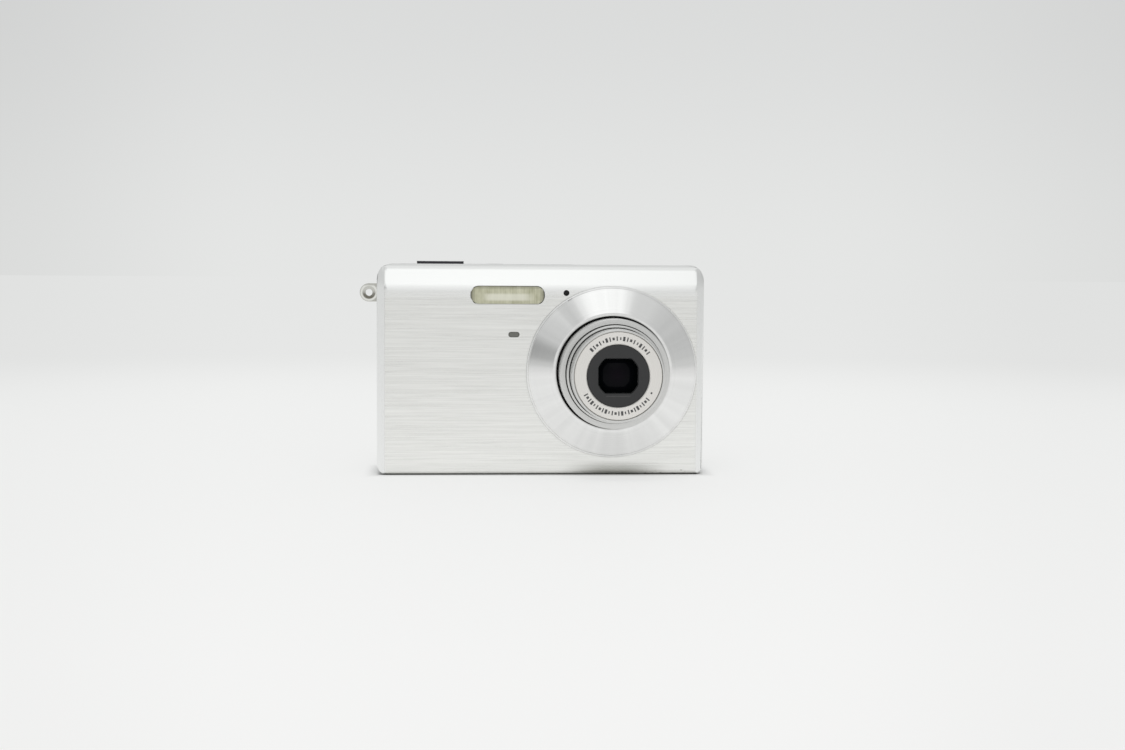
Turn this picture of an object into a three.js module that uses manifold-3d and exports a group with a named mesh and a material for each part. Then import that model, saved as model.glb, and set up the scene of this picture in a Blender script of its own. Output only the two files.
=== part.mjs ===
// A slim compact digital camera with a telescoping zoom lens, switched on and standing on its base.
// Millimetres. +X is to the right seen from the front, -Y is the way the lens looks, +Z is up.
// The origin is on the base plane, below the middle of the body.
import * as THREE from "three";
import { mergeVertices } from "three/addons/utils/BufferGeometryUtils.js";
import Module from "manifold-3d";

const wasm = await Module();
wasm.setup();

// ---------------------------------------------------------------- driving dimensions
const BODY = { width: 89, height: 57, depth: 19.8 };
const HALF_W = BODY.width / 2;
const FRONT_Y = -BODY.depth / 2;
const BACK_Y = BODY.depth / 2;
const WALL = 1.2; // moulded rear cover and side trims
const SHEET = 0.8; // pressed front cover
const SEAM = 0.2; // gap between neighbouring covers
const FIT = 0.2; // gap round a button or a window
const PARTING_Y = -3.2; // plane where the front and rear covers meet
const CORNER_R = { top: 4.9, bottom: 3.4 }; // corners seen from the front
const BEVEL = { width: 2.2, depth: 2.5 }; // slanted edges at the left and right of the front
const SHOULDER = { z: 50.6, depth: 1.9, top: 56.2 }; // the front leans back above this height
const TRIM = { x: 42.1, y0: PARTING_Y, y1: 4.6 }; // side trims fill the ends between the covers

const LENS = { x: 19, z: 28 };
const RING = { outer: 23.1, inner: 15.5, rise: 3.4 };
const BARREL_FRONT_Y = { outer: FRONT_Y - 9.6, mid: FRONT_Y - 12, front: FRONT_Y - 18.4 };
const BARREL_R = { outer: 14.7, mid: 13, front: 12.2 };
const BARREL_WALL = 0.9;
const BARRIER = { pinX: 9, opening: 5.6, innerTurn: 40.5, outerTurn: 25.5, blade: 0.35 };

const BATTERY = { x0: -40.4, x1: -7, y0: -2.6, y1: 2.1, z0: 1.6, z1: 51.4 };
const CARD = { x0: -32, x1: -8, y0: 2.95, y1: 5.05, z0: 1.9, z1: 33.9 };
const DOOR = { x0: -40.7, x1: -6.7, y0: -2.9, y1: 5.5 };
const SCREEN = { x0: -15.5, x1: 40.5, z0: 6.8, z1: 50 };
const KEYS_X = -30; // centre line of the rear controls
const PAD = { z: 26, outer: 8.8, inner: 3.7 };
const KEY_PROUD = 0.3;
const SHUTTER = { x0: -33.9, x1: -21, y0: -2, y1: 3.6, proud: 0.8 };
const PORT = { y0: -2.6, y1: 4, z0: 29.8, z1: 50.2 };
const TOP_PANEL = { x0: -38.5, x1: 9.2, y0: -2.7, y1: 5.4, rise: 0.05 }; // round the top buttons
const TRIPOD = { x: 18, y: 2.2, holeR: 3.18, bushR: 4.8, depth: 6 };

const BIG = 60; // larger than the body in every direction
const FINE = 48; // sides of a large circle
const COARSE = 20; // sides of a small circle

// ---------------------------------------------------------------- materials
function paint(color, roughness, metalness) {
  return new THREE.MeshStandardMaterial({ color, roughness, metalness });
}
const steel = paint(0xdcdcd8, 0.35, 0.9);
const silver = paint(0xd2d4d4, 0.4, 0.6);
const chrome = paint(0xe4e4e2, 0.12, 1);
const black = paint(0x1a1a1b, 0.55, 0);
const darkGrey = paint(0x343434, 0.6, 0);
const glass = paint(0x1c2026, 0.05, 0);
const clear = paint(0xcfccb4, 0.1, 0);
const board = paint(0x1f5a3a, 0.5, 0);
const brass = paint(0xb9975b, 0.35, 1);
const labelGrey = paint(0x6a6f76, 0.6, 0);

// ---------------------------------------------------------------- solids
function solid(geometry) {
  const bare = geometry.index ? geometry.clone() : geometry;
  bare.deleteAttribute("normal");
  bare.deleteAttribute("uv");
  const merged = mergeVertices(bare, 1e-4);
  return new wasm.Manifold(
    new wasm.Mesh({
      numProp: 3,
      vertProperties: new Float32Array(merged.attributes.position.array),
      triVerts: new Uint32Array(merged.index.array),
    }),
  );
}

function geometryOf(manifold) {
  const mesh = manifold.getMesh();
  return new THREE.BufferGeometry()
    .setAttribute("position", new THREE.BufferAttribute(new Float32Array(mesh.vertProperties), 3))
    .setIndex(new THREE.BufferAttribute(new Uint32Array(mesh.triVerts), 1));
}

const join = (first, ...rest) => rest.reduce((sum, item) => sum.add(item), first);
const cut = (first, ...rest) => rest.reduce((left, item) => left.subtract(item), first);

function box(x0, x1, y0, y1, z0, z1) {
  const g = new THREE.BoxGeometry(x1 - x0, y1 - y0, z1 - z0);
  return solid(g.translate((x0 + x1) / 2, (y0 + y1) / 2, (z0 + z1) / 2));
}

// A closed outline from [u, v, radius] corners, each corner rounded by its radius.
function outline(corners) {
  const shape = new THREE.Shape();
  corners.forEach(([u, v, r = 0], i) => {
    const corner = new THREE.Vector2(u, v);
    const [pu, pv] = corners[(i + corners.length - 1) % corners.length];
    const [nu, nv] = corners[(i + 1) % corners.length];
    const back = new THREE.Vector2(pu, pv).sub(corner).normalize();
    const ahead = new THREE.Vector2(nu, nv).sub(corner).normalize();
    const half = Math.acos(THREE.MathUtils.clamp(back.dot(ahead), -1, 1)) / 2;
    const reach = r / Math.tan(half);
    const start = corner.clone().addScaledVector(back, reach);
    const end = corner.clone().addScaledVector(ahead, reach);
    if (i === 0) shape.moveTo(start.x, start.y);
    else shape.lineTo(start.x, start.y);
    if (r > 0) shape.quadraticCurveTo(u, v, end.x, end.y);
  });
  shape.closePath();
  return shape;
}

const rectangle = (u0, u1, v0, v1, r = 0) =>
  outline([
    [u0, v0, r],
    [u1, v0, r],
    [u1, v1, r],
    [u0, v1, r],
  ]);

// Maps an extrusion's own (u, v, w) onto the part's axes, so that w runs along the named axis.
const AXES = {
  x: new THREE.Matrix4().set(0, 0, 1, 0, 1, 0, 0, 0, 0, 1, 0, 0, 0, 0, 0, 1), // u = y, v = z
  y: new THREE.Matrix4().set(1, 0, 0, 0, 0, 0, -1, 0, 0, 1, 0, 0, 0, 0, 0, 1), // u = x, v = z
  z: new THREE.Matrix4(), // u = x, v = y
};

function prism(axis, shape, from, to, curveSegments = 4) {
  const g = new THREE.ExtrudeGeometry(shape, { depth: to - from, bevelEnabled: false, curveSegments });
  g.translate(0, 0, axis === "y" ? -to : from);
  return solid(g.applyMatrix4(AXES[axis]));
}

// A round bar along an axis: a, b are its centre in the other two axes, in X, Y, Z order.
function rod(axis, a, b, r, from, to, sides = COARSE) {
  const circle = new THREE.Shape();
  circle.absarc(a, b, r, 0, 2 * Math.PI);
  return prism(axis, circle, from, to, sides);
}

// A ring or disc turned about the lens axis from [radius, y] corners, listed clockwise seen from +Z.
function turned(corners, sides = FINE) {
  const closed = [...corners, corners[0]].map(([r, y]) => new THREE.Vector2(r, y));
  const made = solid(new THREE.LatheGeometry(closed, sides).translate(LENS.x, 0, LENS.z));
  if (made.volume() > 0) return made;
  return solid(new THREE.LatheGeometry(closed.reverse(), sides).translate(LENS.x, 0, LENS.z));
}

const tube = (outer, inner, y0, y1, sides) =>
  turned(
    [
      [inner, y0],
      [outer, y0],
      [outer, y1],
      [inner, y1],
    ],
    sides,
  );

const group = new THREE.Group();

function piece(name, shape, material) {
  const mesh = new THREE.Mesh(geometryOf(shape), material);
  mesh.name = name;
  group.add(mesh);
  return shape;
}

// ---------------------------------------------------------------- the body's outer form
// The body is what its outlines have in common; inset moves them all inwards for the inside.
function bodyForm(inset, frontInset) {
  const front = FRONT_Y + frontInset;
  const back = BACK_Y - inset;
  const low = inset;
  const high = BODY.height - inset;
  const half = HALF_W - inset;
  const side = outline([
    [front, low, 1.6],
    [back, low, 2.4],
    [back, high, 2.4],
    [FRONT_Y + SHOULDER.depth + frontInset + 0.3, high, 3],
    [front, SHOULDER.z - frontInset * 0.2, 1.5],
  ]);
  const backPlan = outline([
    [-half, -BIG],
    [half, -BIG],
    [half, back, 3.2],
    [-half, back, 3.2],
  ]);
  const flat = HALF_W - BEVEL.width - inset * 0.4;
  const frontPlan = outline([
    [-half, BIG],
    [-half, FRONT_Y + BEVEL.depth, 1.5],
    [-flat, front, 0.8],
    [flat, front, 0.8],
    [half, FRONT_Y + BEVEL.depth, 1.5],
    [half, BIG],
  ]);
  const face = outline([
    [-half, low, CORNER_R.bottom - inset * 0.6],
    [half, low, CORNER_R.bottom - inset * 0.6],
    [half, high, CORNER_R.top - inset * 0.6],
    [-half, high, CORNER_R.top - inset * 0.6],
  ]);
  // Above the shoulder the slanted side edges lean back together with the front.
  const lean = SHOULDER.depth / (SHOULDER.top - SHOULDER.z);
  const leaning = new THREE.Matrix4().makeTranslation(0, -lean * SHOULDER.z, 0);
  leaning.multiply(new THREE.Matrix4().makeShear(0, 0, 0, 0, 0, lean));
  const upright = prism("z", frontPlan, -BIG, 2 * BIG);
  return prism("x", side, -BIG, BIG)
    .intersect(prism("z", backPlan, -BIG, 2 * BIG))
    .intersect(upright)
    .intersect(upright.transform(leaning.elements))
    .intersect(prism("y", face, -BIG, BIG, 6));
}

const outer = bodyForm(0, 0);
const frontShell = outer.subtract(bodyForm(WALL, SHEET));
const rearShell = outer.subtract(bodyForm(WALL, WALL));
const endZone = (sign, x, y0, y1) =>
  sign < 0 ? box(-BIG, -x, y0, y1, -BIG, 2 * BIG) : box(x, BIG, y0, y1, -BIG, 2 * BIG);

// A slot with round ends, used for the flash, the lamp and small keys.
function pill(axis, u0, u1, v0, v1, from, to) {
  const r = Math.min(u1 - u0, v1 - v0) / 2 - 0.01;
  return prism(axis, rectangle(u0, u1, v0, v1, r), from, to, 5);
}

// ---------------------------------------------------------------- front of the body
const FLASH = { x0: -19.1, x1: 0.6, z0: 46.3, z1: 51 };
const LAMP = { x0: -8.95, x1: -6.1, z0: 37.4, z1: 38.7 };
const MIC = { x: 6.6, z: 49.3, r: 0.8 };

function frontCover() {
  const half = frontShell.intersect(box(-BIG, BIG, -BIG, PARTING_Y - SEAM / 2, -BIG, 2 * BIG));
  return cut(
    half,
    tube(RING.inner + 0.3, 1, FRONT_Y - 1, FRONT_Y + 2),
    turned([[0, FRONT_Y - 1], [1.5, FRONT_Y - 1], [1.5, FRONT_Y + 2], [0, FRONT_Y + 2]], 12),
    pill("y", FLASH.x0 - FIT, FLASH.x1 + FIT, FLASH.z0 - FIT, FLASH.z1 + FIT, FRONT_Y - 1, FRONT_Y + 2),
    pill("y", LAMP.x0 - 0.1, LAMP.x1 + 0.1, LAMP.z0 - 0.1, LAMP.z1 + 0.1, FRONT_Y - 1, FRONT_Y + 2),
    rod("y", MIC.x, MIC.z, MIC.r, FRONT_Y - 1, FRONT_Y + 2, 12),
  );
}
piece("front_cover", frontCover(), steel);

// The turned cone round the lens: its foot lies on the front cover and its lip stands 3.4 mm proud.
piece(
  "lens_ring",
  turned(
    [
      [RING.inner, FRONT_Y - RING.rise],
      [RING.inner + 1.1, FRONT_Y - RING.rise],
      [RING.outer - 0.5, FRONT_Y - 0.6],
      [RING.outer, FRONT_Y - 0.35],
      [RING.outer, FRONT_Y - 0.05],
      [RING.inner, FRONT_Y - 0.05],
    ],
    72,
  ),
  chrome,
);
piece("lens_seal", tube(RING.inner - 0.1, RING.inner - 0.6, FRONT_Y - 1.9, FRONT_Y - 0.9), black);

piece(
  "flash_window",
  join(
    pill("y", FLASH.x0, FLASH.x1, FLASH.z0, FLASH.z1, FRONT_Y + 0.05, FRONT_Y + 1),
    box(FLASH.x0 - 0.6, FLASH.x1 + 0.6, FRONT_Y + 1, FRONT_Y + 1.7, FLASH.z0 - 0.5, FLASH.z1 - 0.3),
  ),
  clear,
);
const reflectorY = { front: FRONT_Y + 1.9, back: FRONT_Y + 6.2 };
piece(
  "flash_reflector",
  cut(
    box(FLASH.x0, FLASH.x1, reflectorY.front, reflectorY.back, FLASH.z0 - 0.3, FLASH.z1 - 0.5),
    prism(
      "x",
      outline([
        [reflectorY.front - 0.1, FLASH.z0 + 0.1],
        [reflectorY.back - 0.5, FLASH.z0 + 1.2, 0.5],
        [reflectorY.back - 0.5, FLASH.z1 - 2, 0.5],
        [reflectorY.front - 0.1, FLASH.z1 - 0.9],
      ]),
      FLASH.x0 + 0.6,
      FLASH.x1 - 0.6,
    ),
  ),
  chrome,
);
const xenonTube = rod("x", reflectorY.back - 2, FLASH.z0 + 2, 0.9, FLASH.x0 + 0.8, FLASH.x1 - 0.8, 12);
piece("flash_tube", xenonTube, glass);
const lampLens = pill("y", LAMP.x0, LAMP.x1, LAMP.z0, LAMP.z1, FRONT_Y + 0.1, FRONT_Y + 2.4);
piece("front_lamp_lens", lampLens, darkGrey);
piece("microphone", rod("y", MIC.x, MIC.z, 2, FRONT_Y + 1.6, FRONT_Y + 3.1), black);

// ---------------------------------------------------------------- rear cover and side trims
const PLAY = { x: KEYS_X - 6, z: 40.4 };
const REC = { x: KEYS_X + 6, z: 40.4 };
const MENU = { x: KEYS_X - 6, z: 11.4 };
const SCENE = { x: KEYS_X + 6, z: 11.4 };
const SMALL_KEY = { halfX: 3.6, halfZ: 1.8 };
const ROCKER = { halfX: 7.6, z0: 46.2, z1: 51 };
const POWER = { x: -12.5, y: 0.8, r: 2.5 };
const STATUS = { x: -19.2, z: 48.6, r: 0.8 };
const SPEAKER = { x: 20, y: 1.5, r: 5.5 };
const BASE_SCREWS = [8, 32];
const SIDE_SCREW = { y: 0.8, z: 12 };

const keyHole = ({ x, z }) =>
  pill(
    "y",
    x - SMALL_KEY.halfX - FIT,
    x + SMALL_KEY.halfX + FIT,
    z - SMALL_KEY.halfZ - FIT,
    z + SMALL_KEY.halfZ + FIT,
    BACK_Y - 3,
    BACK_Y + 1,
  );

function screwHole(x) {
  return join(rod("z", x, TRIPOD.y, 0.95, -1, 4, 12), rod("z", x, TRIPOD.y, 1.7, -1, 0.9, 16));
}

function speakerHoles() {
  return [-2.4, -1.2, 0, 1.2, 2.4].map((step) =>
    rod("z", SPEAKER.x + step, SPEAKER.y, 0.35, BODY.height - 3, BODY.height + 1, 8),
  );
}

const HINGE = { y: DOOR.y1 - 0.8, z: 0.6 };
const hingeBar = (r, x0, x1) => rod("x", HINGE.y, HINGE.z, r, x0, x1, 8);

function rearCover() {
  const half = rearShell.intersect(box(-BIG, BIG, PARTING_Y + SEAM / 2, BIG, -BIG, 2 * BIG));
  const { x0, x1, y0, y1, rise } = TOP_PANEL;
  const panel = prism("z", rectangle(x0, x1, y0, y1, 1.2), BODY.height - 0.5, BODY.height + rise);
  return cut(
    half.add(panel),
    endZone(-1, TRIM.x, -BIG, TRIM.y1 + SEAM),
    endZone(1, TRIM.x, -BIG, TRIM.y1 + SEAM),
    prism(
      "y",
      rectangle(SCREEN.x0 - 0.1, SCREEN.x1 + 0.1, SCREEN.z0 - 0.1, SCREEN.z1 + 0.1, 1),
      BACK_Y - 3,
      BACK_Y + 1,
    ),
    rod("y", KEYS_X, PAD.z, PAD.outer + FIT, BACK_Y - 3, BACK_Y + 1, 36),
    pill(
      "y",
      KEYS_X - ROCKER.halfX - 0.3,
      KEYS_X + ROCKER.halfX + 0.3,
      ROCKER.z0 - FIT,
      ROCKER.z1 + FIT,
      BACK_Y - 3,
      BACK_Y + 1,
    ),
    ...[PLAY, REC, MENU, SCENE].map(keyHole),
    rod("y", STATUS.x, STATUS.z, STATUS.r + 0.1, BACK_Y - 3, BACK_Y + 1, 12),
    prism(
      "z",
      rectangle(SHUTTER.x0 - FIT, SHUTTER.x1 + FIT, SHUTTER.y0 - FIT, SHUTTER.y1 + FIT, 1.2),
      BODY.height - 3,
      BODY.height + 1,
    ),
    rod("z", POWER.x, POWER.y, POWER.r + 0.15, BODY.height - 3, BODY.height + 1),
    ...speakerHoles(),
    prism("z", rectangle(DOOR.x0 - FIT, DOOR.x1 + FIT, DOOR.y0 - 0.1, DOOR.y1 + 0.35), -1, 3),
    hingeBar(0.36, DOOR.x0 - 1.2, DOOR.x1 + 1.2),
    rod("z", TRIPOD.x, TRIPOD.y, TRIPOD.bushR + 0.2, -1, 3, 32),
    ...BASE_SCREWS.map(screwHole),
  );
}
piece("rear_cover", rearCover(), silver);

const trimY = [TRIM.y0 + SEAM / 2, TRIM.y1];
const lugHole = rod("x", 0.6, 49.1, 1.3, -BIG, -40, 16);
const sideScrewHole = join(
  rod("x", SIDE_SCREW.y, SIDE_SCREW.z, 0.95, -BIG, -40, 12),
  rod("x", SIDE_SCREW.y, SIDE_SCREW.z, 1.7, -BIG, -HALF_W + 0.9, 16),
);
piece(
  "left_side_trim",
  cut(rearShell.intersect(endZone(-1, TRIM.x + SEAM, ...trimY)), lugHole, sideScrewHole),
  silver,
);
piece(
  "right_side_trim",
  cut(
    rearShell.intersect(endZone(1, TRIM.x + SEAM, ...trimY)),
    prism(
      "x",
      rectangle(PORT.y0 - FIT, PORT.y1 + FIT, PORT.z0 - FIT, PORT.z1 + FIT, 0.8),
      HALF_W - 3,
      HALF_W + 1,
    ),
  ),
  silver,
);

// ---------------------------------------------------------------- strap lug: a bent bar with a round eye
function strapLug() {
  const eye = { x: -47.1, z: 49.1, bar: 0.65 };
  const loop = outline([
    [-44.2, eye.z - 2.5],
    [eye.x - 2.3, eye.z - 2.5, 2.2],
    [eye.x - 2.3, eye.z + 2.5, 2.2],
    [-44.2, eye.z + 2.5],
  ]);
  const stirrup = prism("y", loop, -0.2, 1.4, 6);
  const hole = rod("y", eye.x + 0.2, eye.z, 1.3, -1, 2.4, 20);
  const stem = rod("x", 0.6, eye.z, 1.1, -44.8, -42.2, 16);
  return cut(stirrup, hole).intersect(box(-BIG, -44.65, -BIG, BIG, -BIG, 2 * BIG)).add(stem);
}
piece("strap_lug", strapLug(), chrome);

// ---------------------------------------------------------------- port cover and socket, on the right end
piece(
  "port_cover",
  prism("x", rectangle(PORT.y0, PORT.y1, PORT.z0, PORT.z1, 0.7), HALF_W - 1, HALF_W + 0.25),
  silver,
);
piece(
  "usb_port",
  join(
    cut(box(37.6, 43, 1, 4.2, 36, 44), box(38.6, 44, 1.5, 3.7, 36.5, 43.5)),
    box(38.4, 42.4, 2.3, 2.9, 37.4, 42.6),
  ),
  chrome,
);

// ---------------------------------------------------------------- rear controls
// A key is a cap through the cover and a flange that holds it in behind the wall.
const FLANGE = { y0: BACK_Y - WALL - 0.9, y1: BACK_Y - WALL - 0.2, lip: 0.6 };

function smallKey(name, { x, z }) {
  const { halfX, halfZ } = SMALL_KEY;
  const cap = pill("y", x - halfX, x + halfX, z - halfZ, z + halfZ, FLANGE.y1 - 0.1, BACK_Y + KEY_PROUD);
  const wideX = halfX + FLANGE.lip;
  const wideZ = halfZ + FLANGE.lip;
  const flange = box(x - wideX, x + wideX, FLANGE.y0, FLANGE.y1, z - wideZ, z + wideZ);
  piece(name, cap.add(flange), silver);
}
smallKey("play_button", PLAY);
smallKey("rec_button", REC);
smallKey("menu_button", MENU);
smallKey("scene_button", SCENE);

// The four-way pad tilts on a carrier, and the set button moves through the middle of both.
const padAxis = (r, y0, y1, sides) => rod("y", KEYS_X, PAD.z, r, y0, y1, sides);
piece(
  "control_pad",
  cut(
    join(
      padAxis(PAD.outer, BACK_Y - 1.7, BACK_Y + 0.4, 36),
      padAxis(PAD.outer + 0.6, BACK_Y - 2.1, BACK_Y - 1.65, 36),
    ),
    padAxis(PAD.outer - 1.4, 0, BACK_Y - 1, 24),
    padAxis(PAD.inner, 0, BIG, 24),
  ),
  silver,
);
piece(
  "pad_carrier",
  padAxis(PAD.outer - 2, BACK_Y - 2, BACK_Y - 1.4, 24).subtract(padAxis(PAD.inner + 0.7, 0, BIG, 24)),
  black,
);
piece(
  "set_button",
  join(
    padAxis(PAD.inner - 0.3, BACK_Y - 2.1, BACK_Y + 0.3, 24),
    padAxis(PAD.inner + 0.3, BACK_Y - 2.1, BACK_Y - 1.5, 24),
  ),
  silver,
);
function zoomRocker() {
  const { halfX, z0, z1 } = ROCKER;
  const cap = pill("y", KEYS_X - halfX, KEYS_X + halfX, z0, z1, BACK_Y - 1.8, BACK_Y + 0.5);
  const wide = halfX + 0.7;
  return cap.add(box(KEYS_X - wide, KEYS_X + wide, BACK_Y - 2.15, BACK_Y - 1.75, z0 - 0.6, z1 + 0.6));
}
piece("zoom_rocker", zoomRocker(), silver);
piece("status_lamp", rod("y", STATUS.x, STATUS.z, STATUS.r, BACK_Y - 2.4, BACK_Y - 0.05, 12), clear);
piece("key_board", box(-41, -17, BACK_Y - 3, BACK_Y - 2.6, 5, 53), board);

// ---------------------------------------------------------------- screen
piece(
  "lcd_window",
  prism(
    "y",
    rectangle(SCREEN.x0 + 0.1, SCREEN.x1 - 0.1, SCREEN.z0 + 0.1, SCREEN.z1 - 0.1, 0.9),
    BACK_Y - 0.95,
    BACK_Y - 0.05,
  ),
  glass,
);
piece(
  "lcd_module",
  join(
    box(SCREEN.x0 + 0.6, SCREEN.x1 - 0.6, BACK_Y - 2.5, BACK_Y - 1.2, SCREEN.z0 + 0.6, SCREEN.z1 - 0.6),
    box(SCREEN.x0 + 1.4, SCREEN.x1 - 1.4, BACK_Y - 4.5, BACK_Y - 2.5, SCREEN.z0 + 1.4, SCREEN.z1 - 1.4),
  ),
  darkGrey,
);

// ---------------------------------------------------------------- top controls
const ROOF_Z = BODY.height - WALL;
piece(
  "shutter_button",
  join(
    prism(
      "z",
      rectangle(SHUTTER.x0, SHUTTER.x1, SHUTTER.y0, SHUTTER.y1, 1),
      ROOF_Z - 0.4,
      BODY.height + SHUTTER.proud,
    ),
    box(SHUTTER.x0 - 0.6, SHUTTER.x1 + 0.6, SHUTTER.y0 - 0.5, SHUTTER.y1 + 0.6, ROOF_Z - 1, ROOF_Z - 0.3),
  ),
  chrome,
);
piece(
  "power_button",
  join(
    rod("z", POWER.x, POWER.y, POWER.r, ROOF_Z - 0.4, BODY.height + 0.12),
    rod("z", POWER.x, POWER.y, POWER.r + 0.6, ROOF_Z - 1, ROOF_Z - 0.3),
  ),
  silver,
);
piece(
  "top_switch_board",
  join(
    box(-37, -8, -2.2, 4.4, 52.4, 53),
    box(-28.7, -26.3, -0.4, 2, 53, 53.6),
    box(-13.7, -11.3, -0.4, 2, 53, 54),
  ),
  board,
);
piece("speaker", rod("z", SPEAKER.x, SPEAKER.y, SPEAKER.r, 52.2, 55.2, 24), black);

// ---------------------------------------------------------------- battery bay and door
const CASE = 0.4;
piece(
  "battery_case",
  cut(
    join(
      box(
        BATTERY.x0 - 0.2 - CASE,
        BATTERY.x1 + 0.2 + CASE,
        BATTERY.y0 - 0.15 - CASE,
        BATTERY.y1 + 0.15 + CASE,
        1.75,
        BATTERY.z1 + 0.2 + CASE,
      ),
      box(CARD.x0 - 1, CARD.x1 + 1.2, 2.5, CARD.y1 + 0.35, 1.75, CARD.z1 + 1),
      box(-43.1, -40.8, SIDE_SCREW.y - 1.6, SIDE_SCREW.y + 1.6, SIDE_SCREW.z - 1.8, SIDE_SCREW.z + 1.8),
    ),
    box(BATTERY.x0 - 0.2, BATTERY.x1 + 0.2, BATTERY.y0 - 0.15, BATTERY.y1 + 0.15, 0, BATTERY.z1 + 0.2),
    box(CARD.x0 - 0.2, CARD.x1 + 0.2, CARD.y0 - 0.15, CARD.y1 + 0.15, 0, CARD.z1 + 0.2),
    rod("x", SIDE_SCREW.y, SIDE_SCREW.z, 0.9, -44, -40.2, 12),
  ),
  black,
);
const cell = rectangle(BATTERY.x0, BATTERY.x1, BATTERY.y0, BATTERY.y1, 1);
piece("battery", prism("z", cell, BATTERY.z0, BATTERY.z1, 3), labelGrey);
piece(
  "memory_card",
  prism(
    "y",
    outline([
      [CARD.x0, CARD.z0, 0.6],
      [CARD.x1, CARD.z0, 0.6],
      [CARD.x1, CARD.z1 - 4],
      [CARD.x1 - 4, CARD.z1],
      [CARD.x0, CARD.z1, 0.6],
    ]),
    CARD.y0,
    CARD.y1,
    2,
  ),
  darkGrey,
);
piece("battery_latch", box(-14, -9, BATTERY.y0 - 1.5, BATTERY.y0 - 0.75, 3, 6.4), brass);

const LATCH = { x: -11.6, y: 1.3, halfX: 1.9, halfY: 1.3, travel: 2 };
function batteryDoor() {
  const { x, y, halfX, halfY, travel } = LATCH;
  const plate = prism("z", rectangle(DOOR.x0, DOOR.x1, DOOR.y0 + 0.1, DOOR.y1, 0.6), 0, 1.1, 2);
  return cut(
    plate,
    hingeBar(0.4, DOOR.x0 - 1, DOOR.x1 + 1),
    box(x - halfX - travel - FIT, x + halfX + FIT, y - halfY - FIT, y + halfY + FIT, -1, 0.6),
  );
}
piece("battery_door", batteryDoor(), silver);
piece(
  "door_latch",
  box(LATCH.x - LATCH.halfX, LATCH.x + LATCH.halfX, LATCH.y - LATCH.halfY, LATCH.y + LATCH.halfY, 0.05, 0.4),
  black,
);
piece("door_hinge_pin", hingeBar(0.3, DOOR.x0 - 1, DOOR.x1 + 1), brass);

// ---------------------------------------------------------------- tripod bush on its bracket, and screws
piece(
  "tripod_bush",
  cut(
    join(
      rod("z", TRIPOD.x, TRIPOD.y, TRIPOD.bushR, 0.05, TRIPOD.depth, 32),
      box(5.6, 34.4, TRIPOD.y - 2.4, TRIPOD.y + 2.4, 1.5, 2.5),
    ),
    rod("z", TRIPOD.x, TRIPOD.y, TRIPOD.holeR, -1, TRIPOD.depth - 0.8, 24),
    ...BASE_SCREWS.map((x) => rod("z", x, TRIPOD.y, 0.9, 1, 3, 12)),
  ),
  brass,
);

function screw(axis, a, b, head, tip) {
  const way = Math.sign(tip - head);
  const shoulder = head + way * 0.6;
  const span = (p, q) => [Math.min(p, q), Math.max(p, q)];
  const slots = [0, 90].map((turn) => {
    const bar = new THREE.BoxGeometry(1.9, 0.35, 0.6).rotateZ(THREE.MathUtils.degToRad(turn));
    bar.translate(a, b, 0).applyMatrix4(AXES[axis]);
    return solid(bar.translate(axis === "x" ? head : 0, 0, axis === "z" ? head : 0));
  });
  return cut(
    join(
      rod(axis, a, b, 1.5, ...span(head, shoulder), 16),
      rod(axis, a, b, 0.75, ...span(shoulder - way * 0.1, tip), 10),
    ),
    ...slots,
  );
}
BASE_SCREWS.forEach((x, i) => piece(`base_screw_${i + 1}`, screw("z", x, TRIPOD.y, 0.2, 4.2), chrome));
piece("side_screw", screw("x", SIDE_SCREW.y, SIDE_SCREW.z, -HALF_W + 0.2, -41.2), chrome);

// ---------------------------------------------------------------- boards and flash power
piece("main_board", join(box(-41, -17, 5.7, 6.4, 5, 50), box(-38, -27, 6.4, 6.8, 20, 31)), board);
piece(
  "flash_board",
  join(
    box(-41, -9, -8.2, -7.6, 5, 44.5),
    box(-36, -27, -7.6, -3.5, 10, 19),
    box(-22, -12, -7.6, -5.4, 26, 34),
  ),
  board,
);
piece("flash_capacitor", rod("z", -3, -5.4, 3.2, 6, 38, 20), black);

// ---------------------------------------------------------------- lens unit
const HOUSING = { half: 17.8, y0: FRONT_Y + 1, y1: 3.4, bore: 16.5 };
const lensX = (dx) => LENS.x + dx;
const lensZ = (dz) => LENS.z + dz;

function lensHousing() {
  const { half, y0, y1, bore } = HOUSING;
  const block = prism("y", rectangle(lensX(-half), lensX(half), lensZ(-half), lensZ(half), 3), y0, y1, 3);
  return cut(
    block,
    turned([[0, y0 - 1], [bore, y0 - 1], [bore, 1.9], [0, 1.9]]),
    box(lensX(-5.6), lensX(5.6), 1, y1 + 1, lensZ(-4.6), lensZ(4.6)),
    box(lensX(-half - 1), lensX(-half + 6), y0 + 0.8, y1 + 1, lensZ(half - 6), lensZ(half + 1)),
  );
}
piece("lens_housing", lensHousing(), black);
piece(
  "zoom_motor",
  join(
    rod("y", lensX(-HOUSING.half + 2.9), lensZ(HOUSING.half - 2.9), 2.8, -7.8, 1.6, 16),
    rod("y", lensX(-HOUSING.half + 2.9), lensZ(HOUSING.half - 2.9), 1, 1.5, 3, 10),
  ),
  chrome,
);

// The cam ring turns in the housing; its three slanted slots drive the barrels.
function camRing() {
  const ring = tube(16.3, 14.95, HOUSING.y0 + 0.1, 1.6);
  const slots = [30, 150, 270].map((turn) => {
    const bar = new THREE.BoxGeometry(1.6, 11, 4).rotateZ(0.7).translate(0, -3.4, 15.6);
    return solid(bar.rotateY(THREE.MathUtils.degToRad(turn)).translate(LENS.x, 0, LENS.z));
  });
  return cut(ring, ...slots);
}
piece("cam_ring", camRing(), brass);

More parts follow.
